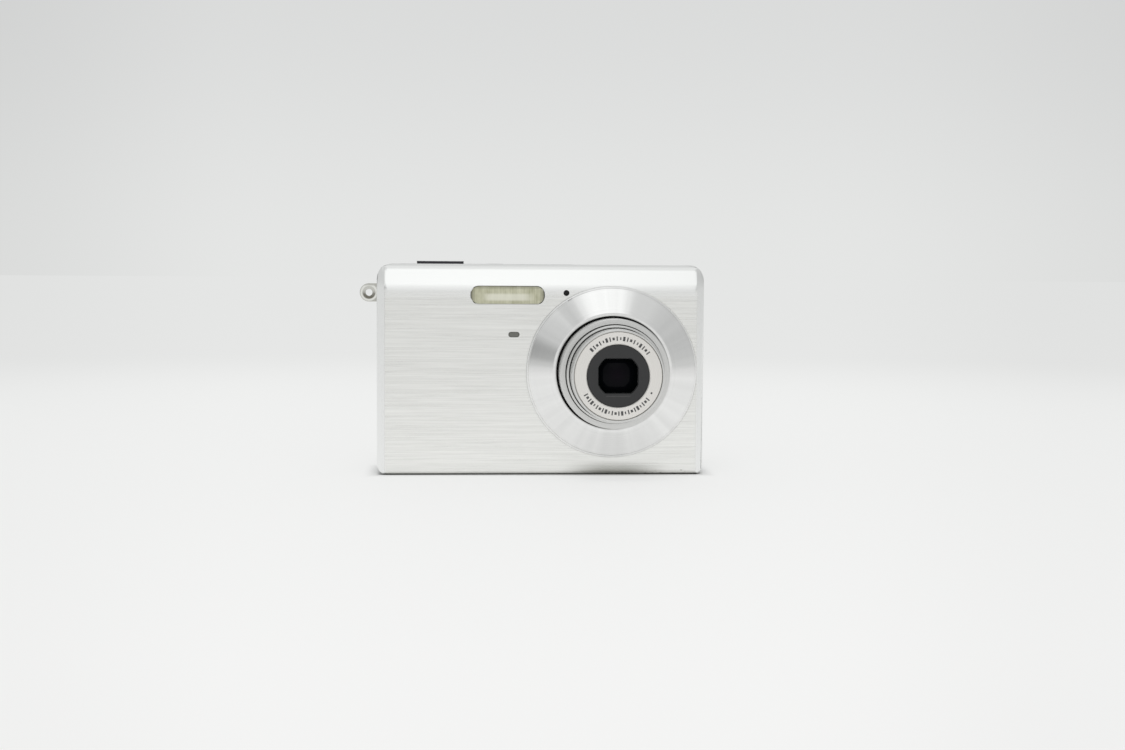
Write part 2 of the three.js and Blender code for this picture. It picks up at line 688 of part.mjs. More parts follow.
piece(
  "barrel_outer",
  turned([
    [13.2, BARREL_FRONT_Y.outer],
    [14.5, BARREL_FRONT_Y.outer],
    [BARREL_R.outer, BARREL_FRONT_Y.outer + 0.25],
    [BARREL_R.outer, BARREL_FRONT_Y.outer + 14],
    [BARREL_R.outer - BARREL_WALL, BARREL_FRONT_Y.outer + 14],
    [BARREL_R.outer - BARREL_WALL, BARREL_FRONT_Y.outer + 0.9],
    [13.2, BARREL_FRONT_Y.outer + 0.9],
  ]),
  chrome,
);
const MID_REAR = BARREL_FRONT_Y.mid + 12.5;
piece(
  "barrel_mid",
  turned([
    [12.4, BARREL_FRONT_Y.mid],
    [12.8, BARREL_FRONT_Y.mid],
    [BARREL_R.mid, BARREL_FRONT_Y.mid + 0.2],
    [BARREL_R.mid, MID_REAR],
    [8.6, MID_REAR],
    [8.6, MID_REAR - 1],
    [12.4, MID_REAR - 1],
  ]),
  chrome,
);
const FRONT_REAR = BARREL_FRONT_Y.front + 11.6;
piece(
  "barrel_front",
  turned([
    [11.7, BARREL_FRONT_Y.front],
    [12, BARREL_FRONT_Y.front],
    [BARREL_R.front, BARREL_FRONT_Y.front + 0.2],
    [BARREL_R.front, FRONT_REAR],
    [11.3, FRONT_REAR],
    [11.3, BARREL_FRONT_Y.front + 1],
    [11.7, BARREL_FRONT_Y.front + 1],
  ]),
  chrome,
);
piece(
  "name_ring",
  turned([
    [8.2, BARREL_FRONT_Y.front + 0.1],
    [11.55, BARREL_FRONT_Y.front + 0.1],
    [11.55, BARREL_FRONT_Y.front + 0.9],
    [8.2, BARREL_FRONT_Y.front + 0.9],
  ]),
  steel,
);

// ---------------------------------------------------------------- lens barrier: a plate and four blades
const PLATE_Y = BARREL_FRONT_Y.front + 0.35;
function barrierPlate() {
  const disc = rod("y", LENS.x, LENS.z, 8, PLATE_Y, PLATE_Y + 0.5, FINE);
  const circle = rod("y", LENS.x, LENS.z, BARRIER.opening, PLATE_Y - 1, PLATE_Y + 1, 32);
  const window = circle.intersect(
    box(lensX(-5.15), lensX(5.15), PLATE_Y - 2, PLATE_Y + 2, lensZ(-4.5), lensZ(4.5)),
  );
  return disc.subtract(window);
}
piece("barrier_plate", barrierPlate(), darkGrey);

// A blade closed: the slice of the window from one height to another, on an arm that reaches its pin.
// Side +1 blades hang on the left pin and cover the upper half; side -1 is the same, turned half round.
function blade(side, low, high, turnDeg, y0) {
  const y1 = y0 + BARRIER.blade;
  const reach = BARRIER.opening + 0.5;
  const disc = new THREE.Shape();
  disc.absarc(0, 0, reach, 0, 2 * Math.PI);
  const slice = prism("y", disc, y0, y1, 24).intersect(box(-reach, reach, y0 - 1, y1 + 1, low, high));
  const arm = box(-BARRIER.pinX, -3.5, y0, y1, low, low + 1.2);
  const hub = rod("y", -BARRIER.pinX, 0, 1, y0, y1, 14);
  const link = box(-BARRIER.pinX - 0.3, -BARRIER.pinX + 0.9, y0, y1, 0, low + 1.2);
  const closed = cut(join(slice, arm, hub, link), rod("y", -BARRIER.pinX, 0, 0.55, y0 - 1, y1 + 1, 10));
  const turn = new THREE.Matrix4()
    .makeTranslation(LENS.x, 0, LENS.z)
    .multiply(new THREE.Matrix4().makeRotationY(side > 0 ? 0 : Math.PI))
    .multiply(new THREE.Matrix4().makeTranslation(-BARRIER.pinX, 0, 0))
    .multiply(new THREE.Matrix4().makeRotationY(-THREE.MathUtils.degToRad(turnDeg)))
    .multiply(new THREE.Matrix4().makeTranslation(BARRIER.pinX, 0, 0));
  return solid(geometryOf(closed).applyMatrix4(turn));
}
const BLADE_Y = { inner: PLATE_Y + 0.85, outer: PLATE_Y + 1.45 };
[
  ["upper", 1],
  ["lower", -1],
].forEach(([half, side]) => {
  piece(`barrier_blade_${half}_inner`, blade(side, 0.06, 2.2, BARRIER.innerTurn, BLADE_Y.inner), black);
  piece(`barrier_blade_${half}_outer`, blade(side, 1.95, 7, BARRIER.outerTurn, BLADE_Y.outer), black);
});

// ---------------------------------------------------------------- glass and sensor
const GROUP1_Y = BARREL_FRONT_Y.front + 2.7;
const bladePins = [-1, 1].map((side) =>
  rod("y", lensX(side * BARRIER.pinX), LENS.z, 0.4, PLATE_Y + 0.75, GROUP1_Y + 0.5, 8),
);
piece(
  "front_lens_group",
  join(
    turned(
      [
        [0, GROUP1_Y],
        [11.1, GROUP1_Y],
        [11.1, GROUP1_Y + 1.2],
        [8, GROUP1_Y + 3.4],
        [0, GROUP1_Y + 3.4],
      ],
      36,
    ),
    ...bladePins,
  ),
  glass,
);
const GROUP2_Y = MID_REAR - 1.2;
piece(
  "zoom_lens_group",
  turned(
    [
      [0, GROUP2_Y - 4.6],
      [7.2, GROUP2_Y - 4.6],
      [10.6, GROUP2_Y - 1.2],
      [10.6, GROUP2_Y],
      [0, GROUP2_Y],
    ],
    32,
  ),
  black,
);
piece("focus_lens", turned([[0, -0.4], [7.2, -0.4], [7.2, 1.1], [0, 1.1]], 28), glass);
piece(
  "image_sensor",
  join(
    box(lensX(-5.2), lensX(5.2), 2.1, 3.6, lensZ(-4.3), lensZ(4.3)),
    box(lensX(-11), lensX(11), 3.6, 4.2, lensZ(-10), lensZ(10)),
  ),
  board,
);

export default group;
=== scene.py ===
"""Looks of a slim compact digital camera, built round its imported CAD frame.

The pieces are modelled in millimetres in the frame's own axes and put into metres at the end.
"""

from math import cos, pi, radians, sin, sqrt, tan

import bmesh
import bpy
from mathutils import Matrix, Vector

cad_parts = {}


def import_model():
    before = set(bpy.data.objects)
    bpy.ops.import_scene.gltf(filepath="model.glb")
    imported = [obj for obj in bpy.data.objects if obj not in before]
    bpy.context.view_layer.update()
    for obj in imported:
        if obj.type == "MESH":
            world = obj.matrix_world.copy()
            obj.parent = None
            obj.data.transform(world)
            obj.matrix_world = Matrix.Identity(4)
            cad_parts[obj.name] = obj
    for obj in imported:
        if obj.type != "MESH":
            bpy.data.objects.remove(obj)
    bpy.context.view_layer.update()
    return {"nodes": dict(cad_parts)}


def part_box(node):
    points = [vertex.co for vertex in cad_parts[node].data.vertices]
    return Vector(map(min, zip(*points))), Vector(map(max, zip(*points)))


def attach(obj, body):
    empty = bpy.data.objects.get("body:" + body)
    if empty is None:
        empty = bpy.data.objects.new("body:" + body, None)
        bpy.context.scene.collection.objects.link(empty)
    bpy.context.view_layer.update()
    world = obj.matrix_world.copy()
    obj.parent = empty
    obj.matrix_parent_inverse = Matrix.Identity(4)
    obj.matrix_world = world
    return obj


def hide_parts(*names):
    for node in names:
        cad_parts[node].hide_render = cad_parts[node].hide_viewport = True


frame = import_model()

MM = 0.001


# ---- places, from the frame
class Span:
    """A CAD node's box in millimetres, with its middle and its outlines from three sides."""

    def __init__(self, node):
        low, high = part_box(node)
        self.x0, self.y0, self.z0 = (v / MM for v in low)
        self.x1, self.y1, self.z1 = (v / MM for v in high)
        self.x = (self.x0 + self.x1) / 2
        self.y = (self.y0 + self.y1) / 2
        self.z = (self.z0 + self.z1) / 2
        self.wide = self.x1 - self.x0
        self.high = self.z1 - self.z0
        self.face = (self.x0, self.x1, self.z0, self.z1)
        self.plan = (self.x0, self.x1, self.y0, self.y1)
        self.side = (self.y0, self.y1, self.z0, self.z1)


FRONT = Span("front_cover")
REAR = Span("rear_cover")
RING = Span("lens_ring")
HALF_W = FRONT.x1
HEIGHT = FRONT.z1
FRONT_Y = FRONT.y0
BACK_Y = REAR.y1
PARTING_Y = (FRONT.y1 + REAR.y0) / 2
LENS_X, LENS_Z = RING.x, RING.z

WALL = 1.2
SHEET = 0.8
SEAM = 0.2
FIT = 0.2
BIG = 70.0  # reaches past the body on every side
SHOULDER_Z, SHOULDER_DEPTH, SHOULDER_TOP, SHOULDER_R = 50.6, 1.9, 56.2, 9.0
BEVEL_W, BEVEL_D = 2.2, 2.5
CORNER_TOP, CORNER_BOTTOM = 4.9, 3.4
TRIM_X, TRIM_Y1 = 42.1, 4.6
FLAT_HALF = 41.5
SLANT = SHOULDER_DEPTH / (SHOULDER_TOP - SHOULDER_Z)


# ---- outlines
def around(count):
    """Each index with the next one, back to the first."""
    return [(i, (i + 1) % count) for i in range(count)]


def outline(corners, steps=8):
    """A closed outline from (u, v, radius) corners, each rounded by a parabola as in the CAD."""
    points = []
    for i, j in around(len(corners)):
        u, v, *rest = corners[i]
        if not rest:
            points.append((u, v))
            continue
        r = rest[0]
        corner = Vector((u, v))
        back = (Vector(corners[i - 1][:2]) - corner).normalized()
        ahead = (Vector(corners[j][:2]) - corner).normalized()
        half = back.angle(ahead) / 2
        start = corner + back * (r / tan(half))
        end = corner + ahead * (r / tan(half))
        for k in range(steps + 1):
            t = k / steps
            p = start * (1 - t) ** 2 + corner * 2 * t * (1 - t) + end * t * t
            points.append((p.x, p.y))
    return points


def rounded(u0, u1, v0, v1, r, steps=8):
    """A rectangle with round corners."""
    points = []
    corners = ((u1 - r, v1 - r), (u0 + r, v1 - r), (u0 + r, v0 + r), (u1 - r, v0 + r))
    for quarter, (cu, cv) in enumerate(corners):
        for k in range(steps + 1):
            a = radians(90 * (quarter + k / steps))
            points.append((cu + r * cos(a), cv + r * sin(a)))
    return points


def circle(u, v, r, count=48):
    angles = [2 * pi * k / count for k in range(count)]
    return [(u + r * cos(a), v + r * sin(a)) for a in angles]


def pill(u0, u1, v0, v1, steps=10):
    return rounded(u0, u1, v0, v1, min(u1 - u0, v1 - v0) / 2 - 0.01, steps)


# ---- solids, in millimetres
def place(axis, u, v, w):
    return {"x": (w, u, v), "y": (u, w, v), "z": (u, v, w)}[axis]


def new_object(name, data):
    obj = bpy.data.objects.new(name, data)
    bpy.context.scene.collection.objects.link(obj)
    return obj


def to_object(bm):
    bmesh.ops.remove_doubles(bm, verts=bm.verts, dist=1e-4)
    bmesh.ops.recalc_face_normals(bm, faces=bm.faces)
    mesh = bpy.data.meshes.new("work")
    bm.to_mesh(mesh)
    bm.free()
    return new_object("work", mesh)


def prism(axis, points, low, high):
    bm = bmesh.new()
    rings = [[bm.verts.new(place(axis, u, v, w)) for u, v in points] for w in (low, high)]
    bm.faces.new(rings[0])
    bm.faces.new(reversed(rings[1]))
    for i, j in around(len(points)):
        bm.faces.new((rings[0][i], rings[0][j], rings[1][j], rings[1][i]))
    return to_object(bm)


def rod(axis, u, v, r, count, low, high):
    return prism(axis, circle(u, v, r, count), low, high)


def framed_plate(axis, outer, inner, low, high):
    """A plate between an outer and an inner outline that have the same number of points."""
    bm = bmesh.new()
    front_out, front_in, back_out, back_in = (
        [bm.verts.new(place(axis, u, v, w)) for u, v in line]
        for w in (low, high)
        for line in (outer, inner)
    )
    walls = ((front_out, front_in), (front_in, back_in), (back_in, back_out), (back_out, front_out))
    for i, j in around(len(outer)):
        for a, b in walls:
            bm.faces.new((a[i], a[j], b[j], b[i]))
    return to_object(bm)


def block(x0, x1, y0, y1, z0, z1):
    return prism("z", [(x0, y0), (x1, y0), (x1, y1), (x0, y1)], z0, z1)


def lathe(profile, count=144, x=LENS_X, z=LENS_Z):
    """Turns a closed (radius, y) outline about a line along Y, by default the lens axis."""
    bm = bmesh.new()
    rings = []
    for k in range(count):
        a = 2 * pi * k / count
        rings.append([bm.verts.new((x + r * cos(a), y, z + r * sin(a))) for r, y in profile])
    for k, m in around(count):
        for i, j in around(len(profile)):
            if max(profile[i][0], profile[j][0]) > 1e-6:
                bm.faces.new((rings[k][i], rings[k][j], rings[m][j], rings[m][i]))
    bmesh.ops.remove_doubles(bm, verts=bm.verts, dist=1e-4)
    bmesh.ops.dissolve_degenerate(bm, dist=1e-4, edges=bm.edges)
    return to_object(bm)


def lathe_up(x, y, profile):
    """Turns a closed (radius, z) outline about a line along Z."""
    obj = lathe(profile, 64, x=0, z=0)
    obj.data.transform(Matrix.Translation((x, y, 0)) @ Matrix.Rotation(radians(90), 4, "X"))
    return obj


def bake(obj):
    """Applies every modifier of a piece."""
    graph = bpy.context.evaluated_depsgraph_get()
    mesh = bpy.data.meshes.new_from_object(obj.evaluated_get(graph))
    obj.modifiers.clear()
    old = obj.data
    obj.data = mesh
    bpy.data.meshes.remove(old)
    return obj


def combine(obj, others, operation):
    for other in others:
        modifier = obj.modifiers.new("combine", "BOOLEAN")
        modifier.operation = operation
        modifier.solver = "MANIFOLD"
        modifier.object = other
        bake(obj)
        bpy.data.objects.remove(other)
    return obj


def cut(obj, *others):
    return combine(obj, others, "DIFFERENCE")


def common(obj, *others):
    return combine(obj, others, "INTERSECT")


def join(obj, *others):
    return combine(obj, others, "UNION")


def copy_of(obj):
    return new_object(obj.name, obj.data.copy())


# ---- finishing a piece
def merge_flat(obj):
    """Joins the slivers that a boolean leaves on flat faces, so that edges and shading stay clean."""
    bm = bmesh.new()
    bm.from_mesh(obj.data)
    bmesh.ops.remove_doubles(bm, verts=bm.verts, dist=2e-4)
    bmesh.ops.dissolve_limit(bm, angle_limit=radians(0.3), verts=bm.verts, edges=bm.edges)
    bm.to_mesh(obj.data)
    bm.free()


def slice_up(obj, places):
    """Splits long faces at places along X, so that the shading of a wide rounding stays true."""
    bm = bmesh.new()
    bm.from_mesh(obj.data)
    for x in places:
        everything = bm.verts[:] + bm.edges[:] + bm.faces[:]
        bmesh.ops.bisect_plane(bm, geom=everything, plane_co=(x, 0, 0), plane_no=(1, 0, 0))
    bm.to_mesh(obj.data)
    bm.free()


def bevel(obj, width, angle, segments):
    """Rounds every edge sharper than an angle in degrees."""
    modifier = obj.modifiers.new("bevel", "BEVEL")
    modifier.limit_method = "ANGLE"
    modifier.angle_limit = radians(angle)
    modifier.width = width
    modifier.segments = segments
    return modifier


def weigh_normals(obj):
    """Keeps flat faces flat in shading."""
    obj.modifiers.new("normals", "WEIGHTED_NORMAL").keep_sharp = True


def smooth_all(mesh):
    mesh.polygons.foreach_set("use_smooth", [True] * len(mesh.polygons))


def piece(obj, name, body, look, replaces=(), round_by=0.0, angle=40, slices=()):
    """Finishes a work solid: soft edges, metres, a material, and the body that it rides on."""
    if round_by:
        merge_flat(obj)
        slice_up(obj, slices)
        rounding = bevel(obj, round_by, angle, 3)
        rounding.profile = 0.6
        rounding.miter_outer = "MITER_ARC"
        smooth_all(obj.data)
        weigh_normals(obj)
        bake(obj)
    mesh = obj.data
    mesh.transform(Matrix.Scale(MM, 4))
    smooth_all(mesh)
    mesh.set_sharp_from_angle(angle=radians(35))
    if not round_by:
        weigh_normals(obj)
        bake(obj)
        mesh = obj.data
    mesh.materials.clear()
    mesh.materials.append(look)
    obj.name = name
    mesh.name = name
    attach(obj, body)
    if replaces:
        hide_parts(*replaces)


def dress(node, look, round_by):
    """Gives a CAD node its material, and soft edges where they show."""
    obj = frame["nodes"][node]
    obj.data.materials.clear()
    obj.data.materials.append(look)
    if round_by:
        weld = obj.modifiers.new("weld", "WELD")
        weld.merge_threshold = 1e-6
        flat = obj.modifiers.new("flat", "DECIMATE")
        flat.decimate_type = "DISSOLVE"
        flat.angle_limit = radians(2)
        bevel(obj, round_by * MM, 40, 2)
        weigh_normals(obj)


# ---- materials
class Nodes:
    """Short ways to build a node tree that works on one set of coordinates."""

    def __init__(self, tree, coords):
        self.tree = tree
        self.coords = self.add("ShaderNodeTexCoord").outputs[coords]

    def add(self, kind, **values):
        node = self.tree.nodes.new(kind)
        for key, value in values.items():
            setattr(node, key, value)
        return node

    def link(self, source, target):
        self.tree.links.new(source, target)

    def feed(self, socket, value):
        if isinstance(value, bpy.types.NodeSocket):
            self.link(value, socket)
        else:
            socket.default_value = value

    def result(self, node, *values):
        """Fills a node's first sockets and gives its first output."""
        for socket, value in zip(node.inputs, values):
            self.feed(socket, value)
        return node.outputs[0]

    def math(self, operation, a, b=0.0):
        return self.result(self.add("ShaderNodeMath", operation=operation), a, b)

    def plus(self, a, b):
        return self.math("ADD", a, b)

    def minus(self, a, b):
        return self.math("SUBTRACT", a, b)

    def times(self, a, b):
        return self.math("MULTIPLY", a, b)

    def larger(self, a, b):
        return self.math("MAXIMUM", a, b)

    def size(self, a):
        return self.math("ABSOLUTE", a)

    def vector(self, x, y, z):
        return self.result(self.add("ShaderNodeCombineXYZ"), x, y, z)

    def noise(self, size, detail=3.0, at=None):
        """Noise whose features are about size = (x, y, z) millimetres."""
        stretch = self.add("ShaderNodeMapping")
        self.link(self.coords if at is None else at, stretch.inputs["Vector"])
        unit = MM if at is None else 1.0
        stretch.inputs["Scale"].default_value = [1 / (s * unit) for s in size]
        node = self.add("ShaderNodeTexNoise")
        self.link(stretch.outputs[0], node.inputs["Vector"])
        node.inputs["Scale"].default_value = 1.0
        node.inputs["Detail"].default_value = detail
        node.inputs["Roughness"].default_value = 0.55
        return node.outputs["Fac"]

    def span(self, value, low, high, to_low=0.0, to_high=1.0, kind="LINEAR"):
        """Turns the range from low to high into the one from to_low to to_high, and stops at its ends."""
        node = self.add("ShaderNodeMapRange", interpolation_type=kind)
        return self.result(node, value, low, high, to_low, to_high)

    def ease(self, *values):
        """A span with soft ends."""
        return self.span(*values, kind="SMOOTHSTEP")

    def mix(self, share, a, b):
        node = self.add("ShaderNodeMix", data_type="RGBA")
        self.feed(node.inputs["Factor"], share)
        for socket, value in ((node.inputs[6], a), (node.inputs[7], b)):
            self.feed(socket, value if isinstance(value, bpy.types.NodeSocket) else (*value, 1))
        return node.outputs[2]


class Look(Nodes):
    """A procedural material on object coordinates, which are the frame's own axes in metres."""

    def __init__(self, name, color, roughness, metallic=0.0, **sockets):
        self.material = bpy.data.materials.new(name)
        self.material.use_nodes = True
        super().__init__(self.material.node_tree, "Object")
        self.shader = self.tree.nodes["Principled BSDF"]
        self.set("Base Color", (*color, 1))
        self.set("Roughness", roughness)
        self.set("Metallic", metallic)
        for key, value in sockets.items():
            self.set(key.replace("_", " "), value)

    def set(self, name, value):
        self.shader.inputs[name].default_value = value

    def axis(self, letter):
        """An object coordinate in millimetres."""
        split = self.add("ShaderNodeSeparateXYZ")
        self.link(self.coords, split.inputs[0])
        return self.times(split.outputs[letter], 1 / MM)

    def off(self, x, z):
        """How far a point is to the right of and above a place on the front, in millimetres."""
        return self.minus(self.axis("X"), x), self.minus(self.axis("Z"), z)

    def radius(self, x=LENS_X, z=LENS_Z):
        """Distance from a line along Y, in millimetres; by default from the lens axis."""
        dx, dz = self.off(x, z)
        return self.math("SQRT", self.plus(self.times(dx, dx), self.times(dz, dz)))

    def turn(self):
        """The angle round the lens axis, in radians."""
        dx, dz = self.off(LENS_X, LENS_Z)
        return self.math("ARCTAN2", dz, dx)

    def color(self, source):
        self.link(source, self.shader.inputs["Base Color"])

    def roughness(self, source):
        self.link(source, self.shader.inputs["Roughness"])

    def bump(self, height, depth, strength=1.0):
        """Height from 0 to 1 stands for a depth in millimetres."""
        node = self.add("ShaderNodeBump")
        node.inputs["Strength"].default_value = strength
        node.inputs["Distance"].default_value = depth * MM
        self.link(height, node.inputs["Height"])
        self.link(node.outputs[0], self.shader.inputs["Normal"])

    def tangent(self, axis):
        node = self.add("ShaderNodeTangent", direction_type="RADIAL", axis=axis)
        self.link(node.outputs[0], self.shader.inputs["Tangent"])


def plain(name, color, roughness, metallic=0.0, *, grain, spread, depth, **sockets):
    """A moulded or painted surface: fine orange peel, faint mottling, uneven gloss."""
    look = Look(name, color, roughness, metallic, **sockets)
    fine = look.noise((grain, grain, grain), 2)
    wide = look.noise((6, 6, 6), 4)
    dark = [c * (1 - spread) for c in color]
    light = [min(1, c * (1 + spread)) for c in color]
    look.color(look.mix(look.span(wide, 0.35, 0.65), dark, light))
    look.roughness(look.span(wide, 0.3, 0.7, roughness * 0.85, roughness * 1.2))
    look.bump(fine, depth)
    return look.material


def brushed_front():
    """Sheet metal with a level grain, polished slanted side edges and a few old knocks; its colour also holds
    painted shade: darker towards the top, a painted dark reflection under the lens and a painted contact
    shadow along the bottom edge.
    """
    look = Look("brushed_front", (0.88, 0.88, 0.86), 0.3, 1.0, Anisotropic=0.4, Anisotropic_Rotation=0.25)
    long = look.noise((22, 4, 0.30), 3)
    short = look.noise((9, 4, 0.14), 2)
    hair = look.noise((34, 4, 0.06), 2)
    grain = look.plus(look.times(long, 0.42), look.times(short, 0.28))
    grain = look.plus(grain, look.times(hair, 0.30))
    sideways, height = look.axis("X"), look.axis("Z")
    on_plate = look.span(look.size(sideways), TRIM_X, TRIM_X + 0.25, 1.0, 0.0)
    below = look.ease(height, 46.8, 50.8, 1.0, 0.12)
    share = look.times(on_plate, below)
    brushed = look.mix(look.span(grain, 0.36, 0.60), (0.80, 0.80, 0.778), (0.965, 0.965, 0.942))
    # Painted shade and light: the brushed plate darkens by up to 7 % from 5 to 30 mm up, so its lower part
    # shows lighter, as if lit from the floor.
    brushed = look.mix(look.span(height, 5.0, 30.0, 0.0, 0.07), brushed, (0, 0, 0))
    colour = look.mix(share, (0.91, 0.915, 0.91), brushed)
    spot = look.noise((0.9, 4, 0.4), 3)
    low = look.ease(height, 0.3, 2.0, 1.0, 0.0)
    right = look.ease(sideways, 22.0, 30.0, 0.0, 1.0)
    knock = look.times(look.times(low, right), look.span(spot, 0.62, 0.68))
    knocked = look.mix(knock, colour, (0.16, 0.15, 0.13))
    # Painted reflection: a dark patch low on the plate under the lens stands for the shadowed floor under the
    # barrel, seen in the curved bottom edge.
    off_lens = look.size(look.minus(sideways, LENS_X + 1.0))
    under_lens = look.ease(off_lens, 2.0, 16.0, 0.72, 0.0)
    painted_lens_reflection = look.times(under_lens, look.ease(height, 0.4, 4.6, 1.0, 0.0))
    # Painted shade: a dark line along the lowest 0.75 mm, where the body meets the floor.
    edge = look.ease(height, 0.0, 0.75, 0.8, 0.0)
    look.color(look.mix(look.larger(painted_lens_reflection, edge), knocked, (0.20, 0.20, 0.17)))
    rough = look.span(grain, 0.35, 0.65, 0.25, 0.36)
    polish = 0.24
    look.roughness(look.plus(look.times(share, look.minus(rough, polish)), polish))
    look.bump(look.times(grain, share), 0.01, 0.5)
    return look.material


def turned_metal(name, color, roughness, line, aniso, wedge=0.0):
    """Metal turned on a lathe: fine circles round the lens axis and faint light and dark wedges."""
    look = Look(name, color, roughness, 1.0, Anisotropic=aniso, Anisotropic_Rotation=0.25)
    look.tangent("Y")
    rings = look.noise((line, 50, 50), 3, at=look.vector(look.radius(), 0.0, 0.0))
    angle = look.turn()
    on_circle = look.vector(look.math("COSINE", angle), 0.0, look.math("SINE", angle))
    sectors = look.noise((0.16, 1, 0.16), 2, at=on_circle)
    tone = look.plus(look.times(sectors, wedge), look.times(rings, 1 - wedge))
    dark = [c * 0.93 for c in color]
    light = [min(1, c * 1.06) for c in color]
    look.color(look.mix(look.span(tone, 0.35, 0.65), dark, light))
    look.roughness(look.span(rings, 0.3, 0.7, roughness * 0.85, roughness * 1.2))
    look.bump(rings, 0.002, 0.4)
    return look.material


def lens_coating():
    """Multi-coated glass: near black, with a faint violet and green cast and almost no mirror."""
    look = Look("lens_coating", (0.003, 0.003, 0.004), 0.05, 0.0, Specular_IOR_Level=0.05)
    tone = look.span(look.radius(), 0.0, 6.0)
    smear = look.noise((3, 3, 3), 3)
    look.color(look.mix(tone, (0.005, 0.003, 0.006), (0.002, 0.004, 0.004)))
    look.roughness(look.span(smear, 0.3, 0.7, 0.04, 0.12))
    return look.material


def flash_lens(box):
    """Ribbed clear cover over a silvered trough: warm, with a painted reflection of the trough bright in the
    middle, dark at its ends, and a painted shadow along its top edge.
    """
    look = Look("flash_lens", (0.6, 0.59, 0.46), 0.2, 0.0, Coat_Weight=0.6, Coat_Roughness=0.05)
    ribs = look.noise((0.25, 3, 30), 2)
    broad = look.noise((1.6, 3, 3.0), 2)
    tone = look.plus(look.times(ribs, 0.45), look.times(broad, 0.55))
    streaks = look.mix(look.span(tone, 0.36, 0.64), (0.42, 0.415, 0.27), (0.68, 0.67, 0.51))
    off_end, off_mid = (look.size(side) for side in look.off(box.x, box.z - 0.3))
    # Painted reflection: a bright warm band in the middle stands for the silvered trough seen through the
    # cover.
    tube_x = look.ease(off_end, box.wide * 0.2, box.wide * 0.36, 1.0, 0.0)
    tube = look.times(tube_x, look.ease(off_mid, 0.5, 1.3, 0.75, 0.0))
    lit = look.mix(tube, streaks, (0.86, 0.85, 0.73))
    end = look.ease(off_end, box.wide * 0.40, box.wide * 0.49, 0.0, 0.85)
    # Painted shadow: the top edge darkens as a shadow gap; the ends are darker as well.
    top = look.ease(look.axis("Z"), box.z1 - 0.9, box.z1 - 0.3, 0.0, 0.4)
    look.color(look.mix(look.larger(end, top), lit, (0.13, 0.13, 0.09)))
    look.bump(ribs, 0.04, 0.5)
    return look.material


def screen_glass(box):
    """Hard glass with a black printed border round a dark grey picture area."""
    look = Look("screen_glass", (0.01, 0.01, 0.011), 0.05, 0.0, Specular_IOR_Level=0.3)
    edge_x, edge_z = (look.size(side) for side in look.off(box.x, box.z))
    inside_x = look.span(edge_x, box.wide / 2 - 2.7, box.wide / 2 - 2.4, 1.0, 0.0)
    inside_z = look.span(edge_z, box.high / 2 - 2.5, box.high / 2 - 2.2, 1.0, 0.0)
    dots = look.noise((0.12, 1, 0.12), 1)
    picture = look.mix(dots, (0.018, 0.020, 0.024), (0.028, 0.031, 0.036))
    look.color(look.mix(look.times(inside_x, inside_z), (0.006, 0.006, 0.007), picture))
    smear = look.noise((9, 9, 5), 5)
    look.roughness(look.span(smear, 0.4, 0.7, 0.03, 0.14))
    return look.material


def lug_chrome(x, z):
    """Bright plating, with painted shade low in the eye and painted dark reflections along the outer rim and
    the top, mottled a little.
    """
    look = Look("lug_chrome", (0.86, 0.86, 0.82), 0.1, 1.0)
    grain = look.noise((0.5, 0.5, 0.5), 3)
    reach = look.radius(x, z)
    # Painted shade and reflection: the lower eye is darkened for the shade in the hole, the outer rim and the
    # top for dark reflections of the room.
    lower = look.ease(look.axis("Z"), z - 0.9, z + 0.8, 1.0, 0.35)
    eye = look.times(look.ease(reach, 1.6, 1.95, 1.0, 0.0), lower)
    rim = look.ease(reach, 2.15, 2.5, 0.0, 0.5)
    top = look.ease(look.axis("Z"), z + 1.6, z + 2.3, 0.0, 0.5)
    painted_dark_places = look.larger(look.larger(eye, rim), top)
    painted_dark_share = look.times(painted_dark_places, look.span(grain, 0.2, 0.6, 0.7, 1.0))
    look.color(look.mix(painted_dark_share, (0.9, 0.9, 0.86), (0.16, 0.15, 0.12)))
    look.roughness(look.span(grain, 0.3, 0.7, 0.07, 0.16))
    look.bump(grain, 0.01, 0.4)
    return look.material


def circuit_green():
    """Solder mask with paler tracks."""
    look = Look("circuit_green", (0.03, 0.16, 0.09), 0.4, 0.0, Coat_Weight=0.4)
    cells = look.add("ShaderNodeTexVoronoi", distance="CHEBYCHEV", feature="DISTANCE_TO_EDGE")
    look.link(look.coords, cells.inputs["Vector"])
    cells.inputs["Scale"].default_value = 420
    tracks = look.span(cells.outputs["Distance"], 0.02, 0.05, 1.0, 0.0)
    look.color(look.mix(tracks, (0.025, 0.13, 0.075), (0.07, 0.27, 0.15)))
    look.bump(tracks, 0.02, 0.6)
    return look.material


satin_silver = plain("satin_silver", (0.74, 0.75, 0.755), 0.34, 0.75, grain=0.08, spread=0.02, depth=0.003)
key_silver = plain("key_silver", (0.70, 0.71, 0.715), 0.24, 0.8, grain=0.1, spread=0.03, depth=0.002)
panel_dark = plain("panel_dark", (0.30, 0.31, 0.32), 0.22, 0.9, grain=0.07, spread=0.04, depth=0.002)
chrome = plain("chrome", (0.80, 0.80, 0.77), 0.07, 1.0, grain=0.5, spread=0.03, depth=0.004)
# Painted reflection: near-black plating for the dark reflection seen along the shutter button's front.
dark_reflection_chrome = plain("dark_reflection_chrome", (0.05, 0.05, 0.055), 0.12, 1.0, grain=0.4, spread=0.08, depth=0.002)
matt_black = plain("matt_black", (0.016, 0.016, 0.017), 0.5, grain=0.05, spread=0.15, depth=0.01)
disc_black = plain("disc_black", (0.021, 0.021, 0.022), 0.42, grain=0.06, spread=0.08, depth=0.004)
